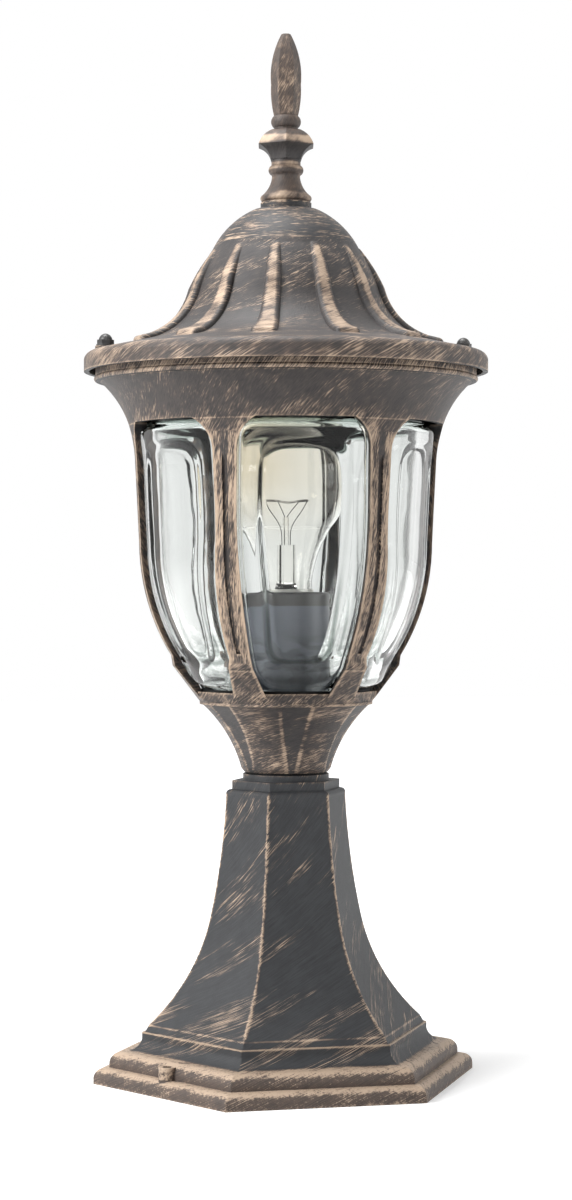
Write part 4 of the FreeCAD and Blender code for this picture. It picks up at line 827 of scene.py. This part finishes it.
def buildLampInside():
    s = lampInside
    low, high = (Vector(corner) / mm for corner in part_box("lamp_filament"))
    level = (low.z + high.z) / 2
    half = (high.x - low.x) / 2 - s["endRoom"]
    front = low.y + s["frontRoom"]
    hook = level - s["hookDrop"]
    wires = bmesh.new()
    for side in (-1, 1):
        lead = [Vector((side * s["leadGap"], 0, level - s["stemTop"])),
                Vector((side * (s["leadGap"] + s["leadSpread"]), 0, level - s["stemTop"] * s["leadKnee"])),
                Vector((side * half * s["leadReach"], 0, level - s["stemTop"] * s["leadBend"])),
                Vector((side * half, 0, level))]
        prop = [Vector((side * s["propFoot"], 0, level - s["rodTop"])),
                Vector((side * half * s["propKnee"], front / 2, level - s["propDrop"])),
                Vector((side * half * s["propReach"], front, hook))]
        for line in (lead, prop):
            path = [spot * mm for spot in alongCurve(line, s["wireSteps"])]
            wireMesh(wires, path, s["wire"] * mm, s["sides"])
    makePiece("lampLeads", wires, plain["filamentWire"], "lamp_wires")
    bow = alongCurve([Vector((-half, 0, level)), Vector((-half / 2, front, hook)),
                      Vector((0, front, level - s["bowDrop"])),
                      Vector((half / 2, front, hook)), Vector((half, 0, level))], s["bowSteps"])
    coil, turns = coiled(bow, s["perTurn"])
    spiral = bmesh.new()
    wireMesh(spiral, coil, s["coilWire"] * mm, s["coilSides"])
    makePiece("coiledFilament", spiral, plain["filamentWire"], "lamp_filament")
    return turns


print("filament:", buildLampInside(), "turns")

# pressed shade: a thick wall with six raised panes, each with a bevelled border round a sunk middle, in mm

shade = {
    "foot": 186.3, "ribFoot": 202.0, "belly": 256.0, "neck": 292.5, "top": 317.5,
    "footRadius": 40.8, "ribFootRadius": 55.1, "bellyRadius": 70.4, "neckRadius": 72.2, "topRadius": 75.3,
    "curve": 105.0, "outerSink": 6.9, "innerSink": 10.9, "wallFoot": 4.0,
    "sill": 185.1, "shoe": 197.1, "paneBelly": 276.1, "paneHead": 312.5,
    "sillHalf": 15.3, "shoeHalf": 21.6, "bellyHalf": 30.8, "paneCurve": 325.0,
    "gap": 1.3, "rise": 4.1, "bevel": 2.6, "border": 8.0, "dip": 1.3, "dipBevel": 4.2,
    "sideLean": 0.97, "sillLean": 0.9, "edgeBlend": 2.2, "dipBlend": 4.5,
    "columns": 540, "rows": 104, "innerColumns": 180, "innerRows": 60,
    "waver": 0.12, "waveRound": 2.2, "waveTall": 0.035,  # uneven inside of the wall
}


def arcAt(start, end, radius, height):  # radius from the axis on a bulging arc between two points
    (r0, z0), (r1, z1) = start, end
    chord = math.hypot(r1 - r0, z1 - z0)
    depth = math.sqrt(radius ** 2 - chord ** 2 / 4)
    left = (-(z1 - z0) / chord, (r1 - r0) / chord)
    centre = ((r0 + r1) / 2 + left[0] * depth, (z0 + z1) / 2 + left[1] * depth)
    return centre[0] + math.sqrt(max(radius ** 2 - (height - centre[1]) ** 2, 0.0))


def shadeLine(height, sink, foot):
    s = shade
    if height <= s["ribFoot"]:
        share = (height - s["foot"]) / (s["ribFoot"] - s["foot"])
        return foot + (s["ribFootRadius"] - sink - foot) * share
    if height <= s["belly"]:
        return arcAt((s["ribFootRadius"] - sink, s["ribFoot"]), (s["bellyRadius"] - sink, s["belly"]),
                     s["curve"] - sink, height)
    if height <= s["neck"]:
        share = (height - s["belly"]) / (s["neck"] - s["belly"])
        return s["bellyRadius"] - sink + (s["neckRadius"] - s["bellyRadius"]) * share
    share = (height - s["neck"]) / (s["top"] - s["neck"])
    return s["neckRadius"] - sink + (s["topRadius"] - s["neckRadius"]) * share


def paneHalf(height):  # half the window's width at a height
    s = shade
    if height <= s["shoe"]:
        share = (height - s["sill"]) / (s["shoe"] - s["sill"])
        return s["sillHalf"] + (s["shoeHalf"] - s["sillHalf"]) * share
    if height <= s["paneBelly"]:
        return arcAt((s["shoeHalf"], s["shoe"]), (s["bellyHalf"], s["paneBelly"]), s["paneCurve"], height)
    return s["bellyHalf"]


def smoothMin(values, blend):
    return -blend * math.log(sum(math.exp(-value / blend) for value in values))


def smoothStep(value, low, high):
    share = min(max((value - low) / (high - low), 0.0), 1.0)
    return share * share * (3 - 2 * share)


def paneRise(line, turn, height):  # how far the glass stands out in its window
    s = shade
    aside = line * math.sin(turn - sixth * round(turn / sixth))
    walls = [(paneHalf(height) - abs(aside)) * s["sideLean"], s["paneHead"] - height,
             (height - s["sill"]) * s["sillLean"]]
    inside = smoothMin(walls, s["edgeBlend"]) - s["gap"]
    middle = smoothMin(walls, s["dipBlend"]) - s["gap"]
    raised = s["rise"] * smoothStep(inside, 0.0, s["bevel"])
    return raised - s["dip"] * smoothStep(middle, s["border"], s["border"] + s["dipBevel"])


def innerWaver(line, turn, height):
    s = shade
    spot = Vector((math.cos(turn) * s["waveRound"], math.sin(turn) * s["waveRound"], height * s["waveTall"]))
    return s["waver"] * noise.noise(spot)


def shadeRings(mesh, rows, columns, sink, foot, swell):
    s = shade
    rings = []
    for row in range(rows + 1):
        height = s["foot"] + (s["top"] - s["foot"]) * row / rows
        line = shadeLine(height, sink, foot)
        ring = []
        for column in range(columns):
            turn = 2 * math.pi * column / columns
            reach = (line + swell(line, turn, height)) * mm
            ring.append(mesh.verts.new((reach * math.sin(turn + headTurn), -reach * math.cos(turn + headTurn),
                                        height * mm)))
        rings.append(ring)
    return rings


def buildShade():
    s = shade
    mesh = bmesh.new()
    outside = shadeRings(mesh, s["rows"], s["columns"], s["outerSink"], s["footRadius"], paneRise)
    innerFoot = s["footRadius"] - s["wallFoot"]
    inside = shadeRings(mesh, s["innerRows"], s["innerColumns"], s["innerSink"], innerFoot, innerWaver)
    for rings, flip in ((outside, False), (inside, True)):
        for low, high in zip(rings, rings[1:]):
            count = len(low)
            for index in range(count):
                after = (index + 1) % count
                loop = [low[index], low[after], high[after], high[index]]
                mesh.faces.new(loop[::-1] if flip else loop)
    for outerRing, innerRing, flip in ((outside[0], inside[0], True), (outside[-1], inside[-1], False)):
        step = len(outerRing) // len(innerRing)
        for index in range(len(innerRing)):
            after = (index + 1) % len(innerRing)
            arc = [outerRing[(index * step + extra) % len(outerRing)] for extra in range(step + 1)]
            loop = arc + [innerRing[after], innerRing[index]]
            mesh.faces.new(loop[::-1] if flip else loop)
    return makePiece("pressedShade", mesh, shadeGlass, "glass_shade")


pressedShade = buildShade()
print("shade:", len(pressedShade.data.polygons), "faces")

# floor, light and camera

studio = {
    "floor": (0.82, 0.82, 0.82), "cloud": (0.8077, 0.8077, 0.8077), "floorHalf": 4,
    "floorRough": 0.9, "floorGloss": 0.1,
    "cloudScale": 9.0, "cloudDetail": 3.0, "cloudRough": 0.5, "cloudRange": (0.2, 0.8),
    "nearGlow": 0.34, "farGlow": (0.12, 1.0, 0.86),  # white where it is seen, with a shadow by the foot
    "world": 0.26,
    "aim": (0, 0, 0.25),
    "lamps": [
        {"name": "keyLamp", "spot": (-1.75, -0.45, 1.25), "size": 1.1, "power": 50.0},
        {"name": "topLamp", "spot": (-0.25, 0.15, 1.9), "size": 1.0, "power": 34.0},
        {"name": "fillLamp", "spot": (1.7, -0.5, 0.8), "size": 1.2, "power": 10.0},
    ],
}


def seenDirectly(tree):  # 1 where the camera, a reflection or a refraction sees it
    path = addNode(tree, "LightPath").outputs
    seen = largest(tree, path["Is Camera Ray"], path["Is Glossy Ray"], path["Is Transmission Ray"])
    return times(tree, seen, calc(tree, "LESS_THAN", path["Diffuse Depth"], 0.5))


def placeObject(name, data, spot=(0, 0, 0), ahead=None):
    holder = bpy.data.objects.new(name, data)
    holder.location = spot
    if ahead is not None:
        holder.rotation_mode = "QUATERNION"
        holder.rotation_quaternion = ahead.to_track_quat("-Z", "Y")
    bpy.context.scene.collection.objects.link(holder)
    return holder


def buildFloor():
    s = studio
    material, tree, shader = newMaterial("paleFloor")
    place = objectPlace(tree)
    cloud = noiseAt(tree, place, s["cloudScale"], s["cloudDetail"], s["cloudRough"])
    tone = mixColours(tree, ramp(tree, cloud, *s["cloudRange"]), s["floor"], s["cloud"])
    tree.links.new(tone, shader.inputs["Base Color"])
    shader.inputs["Roughness"].default_value = s["floorRough"]
    shader.inputs["Specular IOR Level"].default_value = s["floorGloss"]
    shader.inputs["Emission Color"].default_value = (1, 1, 1, 1)
    glow = stepped(tree, lengthOf(tree, place), s["nearGlow"], s["farGlow"])
    tree.links.new(times(tree, seenDirectly(tree), glow), shader.inputs["Emission Strength"])
    half = s["floorHalf"]
    data = bpy.data.meshes.new("floor")
    corners = [(-half, -half, 0), (half, -half, 0), (half, half, 0), (-half, half, 0)]
    data.from_pydata(corners, [], [(0, 1, 2, 3)])
    data.materials.append(material)
    floor = placeObject("floor", data)


def buildLight():
    world = bpy.data.worlds.new("studio")
    bpy.context.scene.world = world
    world.use_nodes = True
    sky = world.node_tree
    level = mixValues(sky, seenDirectly(sky), studio["world"], 1.0)
    sky.links.new(level, sky.nodes["Background"].inputs["Strength"])
    sky.nodes["Background"].inputs["Color"].default_value = (1, 1, 1, 1)
    for lamp in studio["lamps"]:
        light = bpy.data.lights.new(lamp["name"], "AREA")
        light.shape = "DISK"
        light.size = lamp["size"]
        light.energy = lamp["power"]
        placeObject(lamp["name"], light, lamp["spot"], Vector(studio["aim"]) - Vector(lamp["spot"]))


buildFloor()
buildLight()

view = {"distance": 1.282, "height": 0.2373, "azimuth": -13.2, "pitch": -0.39, "lens": 80.13,
        "sensor": 36, "near": 0.05}


def buildCamera():
    camera = bpy.data.cameras.new("photoView")
    camera.lens = view["lens"]
    camera.sensor_width = view["sensor"]
    camera.clip_start = view["near"]
    turn = math.radians(view["azimuth"])
    tilt = math.radians(view["pitch"])
    spot = Vector((view["distance"] * math.sin(turn), -view["distance"] * math.cos(turn), view["height"]))
    ahead = Vector((-math.sin(turn) * math.cos(tilt), math.cos(turn) * math.cos(tilt), math.sin(tilt)))
    bpy.context.scene.camera = placeObject("photoView", camera, spot, ahead)


buildCamera()
bpy.context.scene.view_settings.view_transform = "Standard"
print("studio ready")
